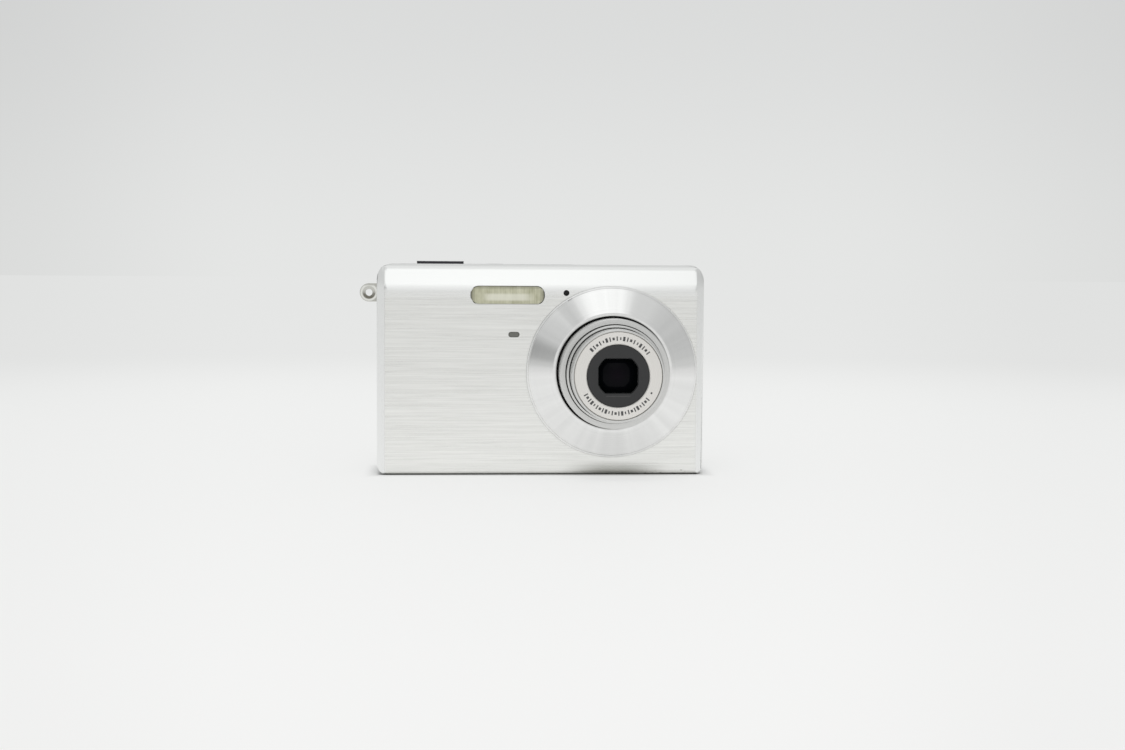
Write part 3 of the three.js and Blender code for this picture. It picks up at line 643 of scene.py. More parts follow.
# Painted highlight: the colour of the bar that stands for the light line under the lens window.
highlight_bar_grey = plain("highlight_bar_grey", (0.048, 0.048, 0.047), 0.4, grain=0.1, spread=0.08, depth=0.002)
lamp_grey = plain("lamp_grey", (0.14, 0.14, 0.12), 0.18, grain=0.2, spread=0.1, depth=0.003, Coat_Weight=0.8)
felt = plain("felt", (0.012, 0.012, 0.013), 0.95, grain=0.12, spread=0.3, depth=0.06, Sheen_Weight=0.3)
brass = plain("brass", (0.62, 0.49, 0.25), 0.3, 1.0, grain=0.3, spread=0.06, depth=0.006)
steel = plain("steel", (0.52, 0.52, 0.53), 0.28, 1.0, grain=0.2, spread=0.08, depth=0.005)
cell_sleeve = plain("cell_sleeve", (0.10, 0.115, 0.13), 0.4, grain=0.3, spread=0.1, depth=0.01)
mark_grey = plain("mark_grey", (0.07, 0.07, 0.072), 0.5, grain=0.1, spread=0.1, depth=0.002)
lamp_green = plain("lamp_green", (0.20, 0.42, 0.20), 0.2, grain=0.2, spread=0.1, depth=0.002, Coat_Weight=0.8)
front_look = brushed_front()
ring_look = turned_metal("ring_metal", (0.86, 0.86, 0.855), 0.13, 0.25, wedge=0.5, aniso=0.45)
barrel_look = turned_metal("barrel_metal", (0.68, 0.68, 0.67), 0.24, 0.1, aniso=0.5)
name_look = turned_metal("name_ring_metal", (0.82, 0.80, 0.77), 0.28, 0.07, aniso=0.6)
coating = lens_coating()
green_board = circuit_green()


# ---- the body's covers
def body_form(inset, front_inset, steps):
    """The same outlines as the CAD body, with finer curves."""
    front = FRONT_Y + front_inset
    back = BACK_Y - inset
    low, high = inset, HEIGHT - inset
    half = HALF_W - inset
    flat = HALF_W - BEVEL_W - inset * 0.4
    bevel_y = FRONT_Y + BEVEL_D
    shoulder = (front, SHOULDER_Z - front_inset * 0.2, SHOULDER_R)
    roof_edge = (FRONT_Y + SHOULDER_DEPTH + front_inset + 0.3, high, 3)
    side = outline([(front, low, 1.6), (back, low, 2.4), (back, high, 2.4), roof_edge, shoulder], steps)
    back_plan = outline([(-half, -BIG), (half, -BIG), (half, back, 3.2), (-half, back, 3.2)], steps)
    front_plan = outline([
        (-half, BIG), (-half, bevel_y, 1.5), (-flat, front, 0.8),
        (flat, front, 0.8), (half, bevel_y, 1.5), (half, BIG),
    ], steps)
    bottom_r = CORNER_BOTTOM - inset * 0.6
    top_r = CORNER_TOP - inset * 0.6
    face = outline([
        (-half, low, bottom_r), (half, low, bottom_r), (half, high, top_r), (-half, high, top_r),
    ], steps + 4)
    leaning = prism("z", front_plan, -BIG, 2 * BIG)
    for vertex in leaning.data.vertices:
        vertex.co.y += SLANT * (vertex.co.z - SHOULDER_Z)
    return common(
        prism("x", side, -BIG, BIG),
        prism("z", back_plan, -BIG, 2 * BIG),
        prism("z", front_plan, -BIG, 2 * BIG),
        leaning,
        prism("y", face, -BIG, BIG),
    )


OUTER = body_form(0, 0, 8)
FRONT_SHELL = cut(copy_of(OUTER), body_form(WALL, SHEET, 3))
REAR_SHELL = cut(copy_of(OUTER), body_form(WALL, WALL, 3))
bpy.data.objects.remove(OUTER)

FLASH = Span("flash_window")
FLASH_HOLE = (-19.1, 0.6, 46.3, 51.0)
LAMP = Span("front_lamp_lens")
MIC_X, MIC_Z, MIC_R = 6.6, 49.3, 0.8
SPEAKER_X, SPEAKER_Y, SPEAKER_PITCH, SPEAKER_HOLE = 20.0, 1.5, 1.2, 0.38
LENS_HOLE = 15.8
GROOVE_R0, GROOVE_R1 = 22.8, 23.32
SCREEN = Span("lcd_window")
PAD = Span("control_pad")
PAD_HOLE = 9.0
ROCKER = (-37.6, -22.4, 46.2, 51.0)
SHUTTER = Span("shutter_button")
SHUTTER_CAP = (SHUTTER.x0 + 0.6, SHUTTER.x1 - 0.6, SHUTTER.y0 + 0.5, SHUTTER.y1 - 0.6)
POWER = Span("power_button")
POWER_HOLE = 2.65
STATUS = Span("status_lamp")
STATUS_HOLE = 0.92
DOOR = Span("battery_door")
BUSH = Span("tripod_bush")
BUSH_X = 18.0
BUSH_HOLE = 5.0
SCREW_X = [Span("base_screw_1").x, Span("base_screw_2").x]
SIDE_SCREW = Span("side_screw")
SCREW_HOLE = 1.7
PORT = Span("port_cover")
LUG = Span("strap_lug")
LUG_EYE_R = 0.95
COLLAR_Y = 0.6
SMALL_KEYS = ("play_button", "rec_button", "menu_button", "scene_button")
KEY_LIP = 0.6
PANEL = (-38.5, 9.2, -2.7, 5.4)
PANEL_RISE = 0.05
MARK_SINK, MARK_RISE = 0.05, 0.015


def grown(box, by):
    u0, u1, v0, v1 = box
    return u0 - by, u1 + by, v0 - by, v1 + by


def key_box(node):
    return grown(Span(node).face, -KEY_LIP)


def front_cover():
    zone = block(-BIG, BIG, -BIG, PARTING_Y - SEAM / 2, -BIG, 2 * BIG)
    hole = (FRONT_Y - 1, FRONT_Y + 2)
    y0, y1 = FRONT_Y - 1, FRONT_Y + 0.3
    groove = [(GROOVE_R0, y0), (GROOVE_R1, y0), (GROOVE_R1, y1), (GROOVE_R0, y1)]
    shell = cut(
        common(copy_of(FRONT_SHELL), zone),
        rod("y", LENS_X, LENS_Z, LENS_HOLE, 144, *hole),
        lathe(groove, 192),
        prism("y", rounded(*grown(FLASH_HOLE, 0.15), 2.2), *hole),
        prism("y", pill(*grown(LAMP.face, 0.08)), *hole),
        rod("y", MIC_X, MIC_Z, MIC_R, 32, *hole),
    )
    across = [FLAT_HALF * k / 14 for k in range(-14, 15)]
    piece(
        shell, "front_skin", "body", front_look, ["front_cover"],
        round_by=0.12, angle=55, slices=across,
    )


def button_holes(low, high):
    """What the shutter and power buttons take out of the roof."""
    return [
        prism("z", rounded(*grown(SHUTTER_CAP, FIT), 1.2), low, high),
        rod("z", POWER.x, POWER.y, POWER_HOLE, 48, low, high),
    ]


def rear_cover():
    zone = block(-BIG, BIG, PARTING_Y + SEAM / 2, BIG, -BIG, 2 * BIG)
    through = (BACK_Y - 3, BACK_Y + 1)
    roof = (HEIGHT - 3, HEIGHT + 1)
    slots = [SPEAKER_X + SPEAKER_PITCH * k for k in (-2, -1, 0, 1, 2)]
    shell = cut(
        common(copy_of(REAR_SHELL), zone),
        block(-BIG, -TRIM_X, -BIG, TRIM_Y1 + SEAM, -BIG, 2 * BIG),
        block(TRIM_X, BIG, -BIG, TRIM_Y1 + SEAM, -BIG, 2 * BIG),
        prism("y", rounded(*grown(SCREEN.face, 0.15), 1.0), *through),
        rod("y", PAD.x, PAD.z, PAD_HOLE, 72, *through),
        prism("y", pill(*grown(ROCKER, 0.25)), *through),
        *[prism("y", pill(*grown(key_box(n), 0.18)), *through) for n in SMALL_KEYS],
        rod("y", STATUS.x, STATUS.z, STATUS_HOLE, 24, *through),
        *button_holes(*roof),
        *[rod("z", x, SPEAKER_Y, SPEAKER_HOLE, 16, *roof) for x in slots],
        prism("z", rounded(DOOR.x0 - FIT, DOOR.x1 + FIT, DOOR.y0 - FIT, DOOR.y1 + 0.35, 0.5), -1, 3),
        rod("z", BUSH_X, BUSH.y, BUSH_HOLE, 64, -1, 3),
        *[rod("z", x, BUSH.y, SCREW_HOLE, 32, -1, 0.9) for x in SCREW_X],
    )
    piece(shell, "rear_shell", "body", satin_silver, ["rear_cover"], round_by=0.12, angle=55)


def top_panel():
    plate = cut(
        prism("z", rounded(*PANEL, 1.2), HEIGHT - 0.1, HEIGHT + PANEL_RISE),
        *button_holes(HEIGHT - 1, HEIGHT + 1),
    )
    piece(plate, "top_panel", "body", panel_dark, round_by=0.07, angle=55)


def side_trim(side):
    inner = TRIM_X + SEAM
    low, high = (-BIG, -inner) if side < 0 else (inner, BIG)
    zone = block(low, high, PARTING_Y + SEAM / 2, TRIM_Y1, -BIG, 2 * BIG)
    shell = common(copy_of(REAR_SHELL), zone)
    if side < 0:
        name = "left_side_trim"
        shell = cut(
            shell,
            rod("x", COLLAR_Y, LUG.z, 1.35, 32, -BIG, -40),
            rod("x", SIDE_SCREW.y, SIDE_SCREW.z, SCREW_HOLE, 32, -BIG, -HALF_W + 0.9),
        )
    else:
        name = "right_side_trim"
        shell = cut(shell, prism("x", rounded(*grown(PORT.side, FIT), 0.8), HALF_W - 3, HALF_W + 1))
    piece(shell, name + "_skin", "body", satin_silver, [name], round_by=0.12, angle=55)


front_cover()
rear_cover()
top_panel()
side_trim(-1)
side_trim(1)
bpy.data.objects.remove(FRONT_SHELL)
bpy.data.objects.remove(REAR_SHELL)


# ---- lens ring and barrels
def lens_ring():
    face = RING.y0
    profile = outline([
        (15.2, FRONT_Y - 0.05), (15.2, face, 0.3), (16.1, face, 0.7), (22.55, FRONT_Y - 0.72, 0.1),
        (22.75, FRONT_Y - 0.42, 0.1), (23.1, FRONT_Y - 0.38, 0.1), (23.1, FRONT_Y - 0.05),
    ], 6)
    piece(lathe(profile, 192), "lens_ring_turned", "body", ring_look, ["lens_ring"])


def barrel(name, body, outer, wall, bore):
    """A tube with a rolled front edge and a lip that closes it down to the next tube."""
    front, rear = Span(name).y0, Span(name).y1
    inner = outer - wall
    corners = [(bore, front, 0.12), (outer, front, 0.32), (outer, rear, 0.1), (inner, rear, 0.1)]
    if bore < inner:
        corners += [(inner, front + BARREL_LIP, 0.1), (bore, front + BARREL_LIP, 0.1)]
    tube = lathe(outline(corners, 5))
    piece(tube, name + "_tube", body, barrel_look, [name])


PLATE = Span("barrier_plate")
NAME = Span("name_ring")
BARREL_LIP = 0.9
# length and half width of the tick marks, in turn
TICKS = ((1.15, 0.16), (0.7, 0.3), (1.15, 0.16), (1.15, 0.3), (0.7, 0.16))


def name_ring():
    """The silver ring in the lens front, with plain tick marks in two arcs and one index dot."""
    profile = outline([
        (8.2, NAME.y0 + 0.25, 0.1), (8.45, NAME.y0, 0.08), (11.35, NAME.y0, 0.1),
        (11.55, NAME.y0 + 0.2, 0.08), (11.55, NAME.y1), (8.2, NAME.y1),
    ], 4)
    piece(lathe(profile), "name_ring_disc", "front_barrel", name_look, ["name_ring"])
    marks = bmesh.new()
    middle = 9.75
    for centre, half, count in ((87, 49, 19), (266, 56, 23)):
        for k in range(count):
            angle = radians(centre - half + 2 * half * k / (count - 1))
            reach, wide = TICKS[k % len(TICKS)]
            tick(marks, angle, middle - reach / 2, middle + reach / 2, wide)
    tick(marks, radians(333), 9.5, 9.95, 0.24)  # the index dot
    piece(to_object(marks), "name_ring_ticks", "front_barrel", mark_grey)


def tick(bm, angle, r0, r1, half_width):
    """A thin plate standing a hair above the name ring."""
    along = Vector((cos(angle), 0, sin(angle)))
    across = Vector((-sin(angle), 0, cos(angle))) * half_width
    centre = Vector((LENS_X, 0, LENS_Z))
    corners = [centre + along * r + across * s for r, s in ((r0, -1), (r1, -1), (r1, 1), (r0, 1))]
    front = [bm.verts.new((c.x, NAME.y0 - MARK_RISE, c.z)) for c in corners]
    back = [bm.verts.new((c.x, NAME.y0 + MARK_SINK, c.z)) for c in corners]
    bm.faces.new(front)
    bm.faces.new(reversed(back))
    for i, j in around(4):
        bm.faces.new((front[i], back[i], back[j], front[j]))


def clipped(half_u, half_v, r, count=192):
    """A circle about the lens axis, clipped to a box."""
    return [
        (LENS_X + max(-half_u, min(half_u, u)), LENS_Z + max(-half_v, min(half_v, v)))
        for u, v in circle(0, 0, r, count)
    ]


def barrier_plate():
    """The dark disc with its clipped round window, whose edge slopes in, and below it a slim lighter bar that
    stands for the highlight on the window's lower bevel, a painted highlight.
    """
    half_high = 4.65
    window = clipped(5.3, half_high, 5.75)
    lip = clipped(5.05, 4.4, 5.5)
    disc = framed_plate("y", circle(LENS_X, LENS_Z, 8.12, len(window)), window, PLATE.y0, PLATE.y1)
    for vertex in disc.data.vertices:
        for (u, v), inner in zip(window, lip):
            if vertex.co.y > PLATE.y and abs(u - vertex.co.x) + abs(v - vertex.co.z) < 1e-4:
                vertex.co.x, vertex.co.z = inner
                break
    piece(
        disc, "barrier_plate_disc", "front_barrel", disc_black, ["barrier_plate"],
        round_by=0.06, angle=30,
    )
    # Painted highlight: a slim bar, paler and glossier than the disc, stands for the light line on the
    # window's lower bevel.
    low = LENS_Z - half_high - 0.62
    bar = rounded(LENS_X - 3.2, LENS_X + 3.2, low - 0.14, low + 0.14, 0.13)
    step = prism("y", bar, PLATE.y0 - 0.03, PLATE.y)
    piece(step, "barrier_plate_highlight_bar", "front_barrel", highlight_bar_grey)


def front_optics():
    """Front element in its blackened cell, stepped inwards, with the blades' two pins."""
    y = PLATE.y0 + 2.35
    cell = outline([
        (6.5, y, 0.05), (11.1, y, 0.1), (11.1, y + 1.2), (8.2, y + 3.4), (5.0, y + 3.4),
        (5.0, y + 2.0, 0.05), (5.9, y + 2.0, 0.05), (5.9, y + 0.6, 0.05), (6.2, y + 0.6, 0.05),
        (6.2, y + 0.3, 0.05), (6.5, y + 0.3, 0.05),
    ], 2)
    ends = (PLATE.y0 + 0.75, y + 0.3)
    pins = [rod("y", LENS_X + off, LENS_Z, 0.4, 24, *ends) for off in (-9, 9)]
    holder = join(lathe(cell), *pins)
    piece(holder, "front_lens_cell", "front_barrel", matt_black, ["front_lens_group"])
    rim = 5.88
    bulge = 1.3
    sphere = (rim * rim + bulge * bulge) / (2 * bulge)
    dome = []
    for k in range(17):
        r = rim * k / 16
        dome.append((r, y + 1.6 - bulge + sphere - sqrt(sphere * sphere - r * r)))
    glass = [(0.0, dome[0][1])] + dome[1:] + [(rim, y + 1.75), (0.0, y + 1.75)]
    piece(lathe(glass, 96), "front_element", "front_barrel", coating)


lens_ring()
barrel("barrel_outer", "outer_barrel", 14.7, 0.9, 13.2)
barrel("barrel_mid", "middle_barrel", 13.0, 0.6, 12.4)
barrel("barrel_front", "front_barrel", 12.2, 0.6, 11.6)
name_ring()
barrier_plate()
front_optics()


# ---- flash, lamp, strap lug, ports
def flash_window():
    window = prism("y", rounded(*FLASH_HOLE, 2.1, 12), FRONT_Y + 0.1, FRONT_Y + 1.7)
    look = flash_lens(FLASH)
    piece(window, "flash_cover", "body", look, ["flash_window"], round_by=0.18, angle=60)


def front_lamp():
    lens = prism("y", pill(*LAMP.face), LAMP.y0, LAMP.y1)
    piece(
        lens, "front_lamp_cover", "body", lamp_grey, ["front_lamp_lens"],
        round_by=0.12, angle=60,
    )


def strap_lug():
    """A thick rounded chrome eye on a collar in the side."""
    x1 = -HALF_W - 0.15
    half = LUG.high / 2
    eye = (LUG.x0 + half, LUG.z)
    angles = [radians(270 - 180 * k / 32) for k in range(33)]
    round_end = [(eye[0] + half * cos(a), eye[1] + half * sin(a)) for a in angles]
    tab = [(x1, LUG.z - half)] + round_end + [(x1, LUG.z + half)]
    loop = cut(
        prism("y", tab, LUG.y0, LUG.y1),
        rod("y", *eye, LUG_EYE_R, 48, LUG.y0 - 1, LUG.y1 + 1),
    )
    collar = rod("x", COLLAR_Y, LUG.z, 1.1, 40, x1 - 0.2, -TRIM_X - 0.1)
    piece(loop, "strap_loop", "body", lug_chrome(*eye), ["strap_lug"], round_by=0.62, angle=50)
    piece(collar, "strap_collar", "body", chrome, round_by=0.1)


def port_cover():
    """A flat lid with a finger notch at its free edge."""
    lid = prism("x", rounded(*PORT.side, 0.7), PORT.x0, PORT.x1)
    notch = rod("z", PORT.x1 + 0.45, PORT.y0 + 0.9, 0.75, 32, PORT.z - 2.2, PORT.z + 2.2)
    # Painted shade: a black frame round the lid stands for the shadow in the seam between lid and trim.
    seam_shade_frame = framed_plate(
        "x",
        rounded(*grown(PORT.side, 0.19), 0.8),
        rounded(*grown(PORT.side, -0.25), 0.5),
        HALF_W - 0.5,
        HALF_W + 0.16,
    )
    piece(seam_shade_frame, "port_seam_shade", "port_cover", matt_black, round_by=0.05)
    lid = cut(lid, notch)
    piece(lid, "port_lid", "port_cover", satin_silver, ["port_cover"], round_by=0.12)


flash_window()
front_lamp()
strap_lug()
port_cover()


# ---- buttons and screen
def shutter_button():
    """Polished sides painted near black for the dark reflection along the button's front, under a pale,
    slightly wider cap plate.
    """
    top = SHUTTER.z1
    body = join(
        prism("z", rounded(*grown(SHUTTER_CAP, -0.06), 0.95), SHUTTER.z0 + 0.3, top - 0.06),
        block(*SHUTTER.plan, SHUTTER.z0, SHUTTER.z0 + 0.5),
    )
    piece(body, "shutter_key", "shutter_button", dark_reflection_chrome, ["shutter_button"], round_by=0.06)
    cap = prism("z", rounded(*SHUTTER_CAP, 1.0), top - 0.1, top)
    piece(cap, "shutter_cap", "shutter_button", key_silver, round_by=0.04)


def power_button():
    centre = (POWER.x, POWER.y)
    low, top = POWER.z0, POWER.z1
    key = [(0, low + 0.5), (2.5, low + 0.5), (2.5, top - 0.15), (2.35, top), (0, top)]
    flange = [(0, low), (3.1, low), (3.1, low + 0.7), (0, low + 0.7)]
    body = join(lathe_up(*centre, key), lathe_up(*centre, flange))
    ring = cut(
        rod("z", *centre, 1.1, 48, top - 0.05, top + 0.02),
        rod("z", *centre, 0.85, 48, top - 1, top + 1),
    )
    piece(body, "power_key", "power_button", key_silver, ["power_button"], round_by=0.05)
    piece(ring, "power_mark", "power_button", mark_grey)


def small_key(node, mark):
    span = Span(node)
    flange = span.y0 + 0.7
    key = join(
        prism("y", pill(*key_box(node), 12), flange - 0.2, span.y1),
        block(span.x0, span.x1, span.y0, flange, span.z0, span.z1),
    )
    piece(key, node + "_key", node, key_silver, [node], round_by=0.14, angle=60)
    piece(mark(span), node + "_mark", node, mark_grey)


def mark_depth(span):
    """From just under a key's face to just above it."""
    return span.y1 - MARK_SINK, span.y1 + MARK_RISE


def triangle_mark(span):
    points = [(span.x + 0.7, span.z - 0.75), (span.x + 0.7, span.z + 0.75), (span.x - 0.75, span.z)]
    return prism("y", points, *mark_depth(span))


def dot_mark(span):
    return rod("y", span.x, span.z, 0.7, 32, *mark_depth(span))


def lines_mark(span):
    heights = (span.z - 0.6, span.z, span.z + 0.6)
    return join(*[block(span.x - 1.1, span.x + 1.1, *mark_depth(span), z - 0.1, z + 0.1) for z in heights])


def square_mark(span):
    plate = block(span.x - 1.0, span.x + 1.0, *mark_depth(span), span.z - 0.7, span.z + 0.7)
    inside = block(span.x - 0.8, span.x + 0.8, span.y1 - 1, span.y1 + 1, span.z - 0.5, span.z + 0.5)
    return cut(plate, inside)


def control_pad():
    """A dished ring with four arrows round the set button."""
    low, top = PAD.y0, PAD.y1
    wheel = outline([
        (3.7, top - 0.35, 0.12), (8.8, top, 0.3), (8.8, low + 0.4), (9.4, low + 0.4),
        (9.4, low), (7.4, low), (7.4, low + 1.1), (3.7, low + 1.1),
    ], 5)
    ring = lathe(wheel, 96, x=PAD.x, z=PAD.z)
    piece(ring, "pad_ring", "control_pad", key_silver, ["control_pad"])
    marks = []
    for k in range(4):
        a = radians(90 * k)
        along, across = (cos(a), sin(a)), (-sin(a), cos(a))
        tip, base = 7.5, 6.6
        points = [
            (PAD.x + along[0] * r + across[0] * s, PAD.z + along[1] * r + across[1] * s)
            for r, s in ((tip, 0), (base, 0.75), (base, -0.75))
        ]
        marks.append(prism("y", points, top - 0.25, top))
    piece(join(*marks), "pad_arrows", "control_pad", mark_grey)


def set_button():
    span = Span("set_button")
    low, top = span.y0, span.y1
    profile = outline([
        (0, low), (4.0, low), (4.0, low + 0.6), (3.4, low + 0.6), (3.4, top - 0.05, 0.25), (0, top),
    ], 5)
    key = lathe(profile, 96, x=span.x, z=span.z)
    piece(key, "set_key", "set_button", key_silver, ["set_button"])


def zoom_rocker():
    """A long key, dished in the middle and higher at its two ends, with a plus and a minus."""
    span = Span("zoom_rocker")
    x0, x1, z0, z1 = ROCKER
    mid_x, mid_z = (x0 + x1) / 2, (z0 + z1) / 2
    cap = prism("y", pill(x0, x1, z0, z1, 12), span.y0 + 0.3, span.y1)
    dish = rod("z", mid_x, span.y1 + 17.6, 18, 240, z0 - 1, z1 + 1)
    flange = block(span.x0, span.x1, span.y0, span.y0 + 0.4, span.z0, span.z1)
    key = join(cut(cap, dish), flange)
    piece(key, "zoom_key", "zoom_rocker", key_silver, ["zoom_rocker"], round_by=0.14, angle=60)
    depth = (span.y1 - 0.1, span.y1 + 0.01)
    plus_x, minus_x = x0 + 2.3, x1 - 2.3
    bars = [
        block(x - wide, x + wide, *depth, mid_z - high, mid_z + high)
        for x, wide, high in ((plus_x, 0.55, 0.1), (minus_x, 0.55, 0.1), (plus_x, 0.1, 0.55))
    ]
    piece(join(*bars), "zoom_marks", "zoom_rocker", mark_grey)


def screen():
    pane = prism("y", rounded(*SCREEN.face, 0.9), SCREEN.y0, SCREEN.y1)
    piece(pane, "screen_pane", "body", screen_glass(SCREEN), ["lcd_window"], round_by=0.15)


shutter_button()
power_button()
for node, mark in zip(SMALL_KEYS, (triangle_mark, dot_mark, lines_mark, square_mark)):
    small_key(node, mark)
control_pad()
set_button()
zoom_rocker()
screen()


# ---- base: door, latch, tripod bush, screws
def battery_door():
    pin_y, pin_z = DOOR.y1 - 0.8, 0.6
    latch = Span("door_latch")
    door = cut(
        prism("z", rounded(*DOOR.plan, 0.5), DOOR.z0, DOOR.z1),
        rod("x", pin_y, pin_z, 0.4, 24, DOOR.x0 - 1, DOOR.x1 + 1),
        block(latch.x0 - 2.2, latch.x1 + FIT, latch.y0 - FIT, latch.y1 + FIT, -1, 0.6),
    )
    piece(
        door, "battery_lid", "battery_door", satin_silver, ["battery_door"],
        round_by=0.1, angle=60,
    )
    slider = prism("z", rounded(*latch.plan, 0.4), latch.z0, latch.z1)
    for k in range(4):
        x = latch.x0 + 0.8 + 0.7 * k
        groove = block(x - 0.12, x + 0.12, latch.y0 + 0.4, latch.y1 - 0.4, latch.z0 - 1, latch.z0 + 0.1)
        slider = cut(slider, groove)
    piece(slider, "latch_slider", "door_latch", matt_black, ["door_latch"], round_by=0.04)


def tripod_bush():
    """A brass bush with a real thread form, on its bracket."""
    pitch, turns, crest, root = 1.27, 4, 3.18, 3.6
    mouth, end = BUSH.z0 + 0.35, 5.2
    bore = [(root, BUSH.z0), (root, mouth)]
    for k in range(turns):
        z = mouth + pitch * k
        bore += [(crest, z + pitch * 0.45), (crest, z + pitch * 0.6), (root, z + pitch)]
    bore = [(r, z) for r, z in bore if z < end - 0.1] + [(crest, end)]
    profile = [(4.8, BUSH.z0), (4.8, BUSH.z1), (0, BUSH.z1), (0, end)] + bore[::-1]
    bush = lathe_up(BUSH_X, BUSH.y, profile)
    bracket = cut(
        prism("z", rounded(BUSH.x0, BUSH.x1, BUSH.y - 2.4, BUSH.y + 2.4, 1.0), 1.5, 2.5),
        rod("z", BUSH_X, BUSH.y, 4.5, 48, 0, 4),
        *[rod("z", x, BUSH.y, 0.9, 24, 0, 4) for x in SCREW_X],
    )
    piece(bush, "tripod_thread", "body", brass, ["tripod_bush"])
    piece(bracket, "tripod_bracket", "body", steel, round_by=0.08)


def screw(node, axis):
    """A pan head with a cross recess."""
    span = Span(node)
    if axis == "z":
        head, centre, low = (span.z0, span.z0 + 0.6), (span.x, span.y), span.z1
    else:
        head, centre, low = (span.x0, span.x0 + 0.6), (span.y, span.z), span.x1
    u, v = centre
    body = join(
        rod(axis, u, v, 1.5, 40, *head),
        rod(axis, u, v, 0.75, 24, head[1] - 0.1, low),
    )
    depth = (head[0] - 1, head[0] + 0.32)
    bars = [
        prism(axis, [(u - a, v - b), (u + a, v - b), (u + a, v + b), (u - a, v + b)], *depth)
        for a, b in ((0.95, 0.18), (0.18, 0.95))
    ]
    piece(cut(body, *bars), node + "_head", "body", steel, [node], round_by=0.06)


battery_door()
tripod_bush()
screw("base_screw_1", "z")
screw("base_screw_2", "z")
screw("side_screw", "x")


# ---- CAD pieces that keep their shape
BLADES = [f"barrier_blade_{half}_{order}" for half in ("upper", "lower") for order in ("inner", "outer")]
BOARDS = ["key_board", "top_switch_board", "main_board", "flash_board", "image_sensor"]

for look, edge, nodes in (
    (felt, 0, ["lens_seal"]),
    (chrome, 0.05, ["flash_reflector"]),
    (lamp_grey, 0, ["flash_tube"]),
    (lamp_green, 0.1, ["status_lamp"]),
    (steel, 0, ["door_hinge_pin"]),
    (steel, 0.05, ["usb_port"]),
    (steel, 0.1, ["zoom_motor"]),
    (brass, 0.08, ["battery_latch", "cam_ring"]),
    (cell_sleeve, 0.2, ["battery"]),
    (coating, 0.1, ["focus_lens"]),
    (green_board, 0.05, BOARDS),
    (matt_black, 0.04, BLADES),
    (matt_black, 0.05, ["pad_carrier"]),
    (matt_black, 0.08, ["battery_case"]),
    (matt_black, 0.1, ["microphone", "lcd_module", "memory_card", "zoom_lens_group"]),
    (matt_black, 0.15, ["speaker", "lens_housing"]),
    (matt_black, 0.2, ["flash_capacitor"]),
):
    for node in nodes:
        dress(node, look, edge)


# ---- floor, light and camera
HORIZON = (0.782, 0.79, 0.782)
UPPER = (0.705, 0.712, 0.708)
FLOOR_FAR = (0.785, 0.792, 0.785)
FLOOR_NEAR = (0.84, 0.84, 0.835)
VIEW_X, VIEW_Y = -22.0, -431.0  # the floor's brightness is worked out from this place, in mm
CAMERA_PLACE = (-22.57, -431.03, 53.34)
CAMERA_TARGET = (5.66, -9.9, 27.14)
CAMERA_ROLL = radians(0.35)


def floor_look():
    """Pale board with a painted shadow under the body, whose far part glows as evenly as the backdrop."""
    look = Look("floor_sheet", (0.86, 0.86, 0.855), 0.6)
    look.set("Specular IOR Level", 0.2)
    sheet = look.mix(look.noise((300, 300, 300), 2), (0.86, 0.86, 0.855), (0.88, 0.88, 0.875))
    out_x = look.minus(look.size(look.axis("X")), HALF_W)
    out_y = look.minus(look.size(look.axis("Y")), BACK_Y)
    out = look.larger(out_x, out_y)
    # Painted shadow: the board is dark under the body and just round its footprint.
    look.color(look.mix(look.ease(out, -2.2, 0.4), (0.10, 0.10, 0.095), sheet))
    length = look.add("ShaderNodeVectorMath", operation="LENGTH")
    look.link(look.coords, length.inputs[0])
    metres_away = length.outputs["Value"]
    share = look.times(look.ease(metres_away, 0.05, 0.7, 0.55, 1.0), look.ease(out, -1.0, 4.0))
    reach = look.size(look.minus(look.axis("Y"), VIEW_Y))
    tone = look.span(look.math("DIVIDE", 83.0, reach), 0.02, 0.38)
    aside = look.math("DIVIDE", look.minus(look.axis("X"), VIEW_X), reach)
    off_axis = look.size(look.minus(aside, 0.05))
    middle = look.ease(off_axis, 0.17, 0.36, 0.045, 0.0)
    beyond = look.ease(look.axis("Y"), -330.0, -260.0)
    fall = look.plus(0.955, look.times(middle, beyond))
    lift = look.ease(metres_away, 0.05, 0.7, 1.25, 1.0)
    glow = look.add("ShaderNodeEmission")
    look.link(look.mix(tone, FLOOR_FAR, FLOOR_NEAR), glow.inputs["Color"])
    look.link(look.times(fall, lift), glow.inputs["Strength"])
    mixer = look.add("ShaderNodeMixShader")
    for k, source in enumerate((share, look.shader.outputs[0], glow.outputs[0])):
        look.link(source, mixer.inputs[k])
    look.link(mixer.outputs[0], look.tree.nodes["Material Output"].inputs["Surface"])
    return look.material


def floor():
    """A round sheet, finer near the camera, so wide that no edge shows."""
    bm = bmesh.new()
    last = None
    count = 64
    centre = bm.verts.new((0, 0, 0))
    for r in (0.05, 0.1, 0.2, 0.35, 0.6, 1.0, 2.0, 5.0, 12.0, 40.0, 150.0):
        ring = [bm.verts.new((x, y, 0)) for x, y in circle(0, 0, r, count)]
        for k, j in around(count):
            bm.faces.new((last[k], ring[k], ring[j], last[j]) if last else (centre, ring[k], ring[j]))
        last = ring
    mesh = bpy.data.meshes.new("floor")
    bm.to_mesh(mesh)
    bm.free()
    mesh.materials.append(floor_look())
    new_object("floor", mesh)


def direction(azimuth, elevation):
    """A unit vector; azimuth 0 is toward -Y and 90 toward +X."""
    a, e = radians(azimuth), radians(elevation)
    return sin(a) * cos(e), -cos(a) * cos(e), sin(e)


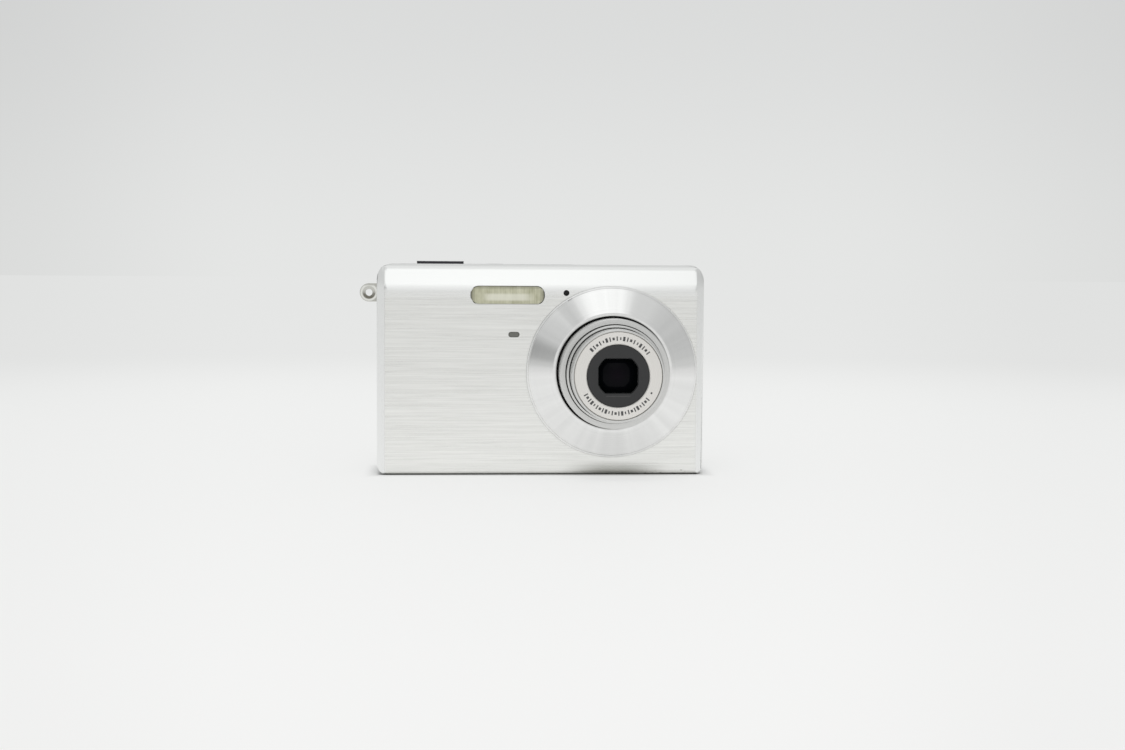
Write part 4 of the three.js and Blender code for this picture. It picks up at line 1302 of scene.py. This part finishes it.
# azimuth, elevation, full radius and outer radius in degrees, and how much brighter
PATCHES = (
    (0, 43, 10.5, 19, 0.55),
    (-29, 44, 2.0, 3.4, 0.75),
    (-40, 33, 5, 7.5, 0.70),
    (34, 40, 4, 14, 0.08),
    (-49, 10.5, 5, 12.5, -0.56),
    (0, 22, 3, 16, 0.34),
    (90, 0, 20, 75, -0.16),
    (0, 78, 10, 34, 0.22),
    (-138, 6, 8, 20, -0.3),
)


def world():
    """An even pale room, paler at the horizon, with some brighter and darker places."""
    sky = bpy.data.worlds.new("studio")
    bpy.context.scene.world = sky
    sky.use_nodes = True
    room = Nodes(sky.node_tree, "Generated")
    split = room.add("ShaderNodeSeparateXYZ")
    room.link(room.coords, split.inputs[0])
    height = room.ease(split.outputs["Z"], 0.0, 0.19)
    left = room.ease(split.outputs["X"], -0.30, -0.12, 0.905, 1.0)
    right = room.ease(split.outputs["X"], 0.22, 0.42, 1.0, 0.945)
    gain = room.times(left, right)
    for azimuth, elevation, inner, outer, amount in PATCHES:
        near = room.add("ShaderNodeVectorMath", operation="DOT_PRODUCT")
        room.link(room.coords, near.inputs[0])
        near.inputs[1].default_value = direction(azimuth, elevation)
        edges = [cos(radians(v)) for v in (outer, inner)]
        gain = room.plus(gain, room.ease(near.outputs["Value"], *edges, 0.0, amount))
    back = room.tree.nodes["Background"]
    room.link(room.mix(height, HORIZON, UPPER), back.inputs["Color"])
    room.link(gain, back.inputs["Strength"])


def overhead_light():
    light = bpy.data.lights.new("overhead", "AREA")
    light.shape = "RECTANGLE"
    light.size = 0.5
    light.size_y = 0.4
    light.energy = 2.2
    obj = new_object("overhead", light)
    obj.location = (-0.1, -0.35, 1.25)
    obj.rotation_euler = (-obj.location).to_track_quat("-Z", "Y").to_euler()
    obj.visible_glossy = False


def camera():
    data = bpy.data.cameras.new("camera")
    data.lens = 50.0
    data.sensor_width = 36.0
    data.clip_start = 0.01
    data.clip_end = 300
    obj = new_object("camera", data)
    place = Vector(CAMERA_PLACE) * MM
    look_at = (Vector(CAMERA_TARGET) * MM - place).normalized()
    level = look_at.cross(Vector((0, 0, 1))).normalized()
    upright = level.cross(look_at)
    right = level * cos(CAMERA_ROLL) + upright * sin(CAMERA_ROLL)
    up = upright * cos(CAMERA_ROLL) - level * sin(CAMERA_ROLL)
    turn = Matrix((right, up, -look_at)).transposed().to_4x4()
    obj.matrix_world = Matrix.Translation(place) @ turn
    bpy.context.scene.camera = obj


floor()
world()
overhead_light()
camera()
bpy.context.scene.view_settings.view_transform = "Standard"
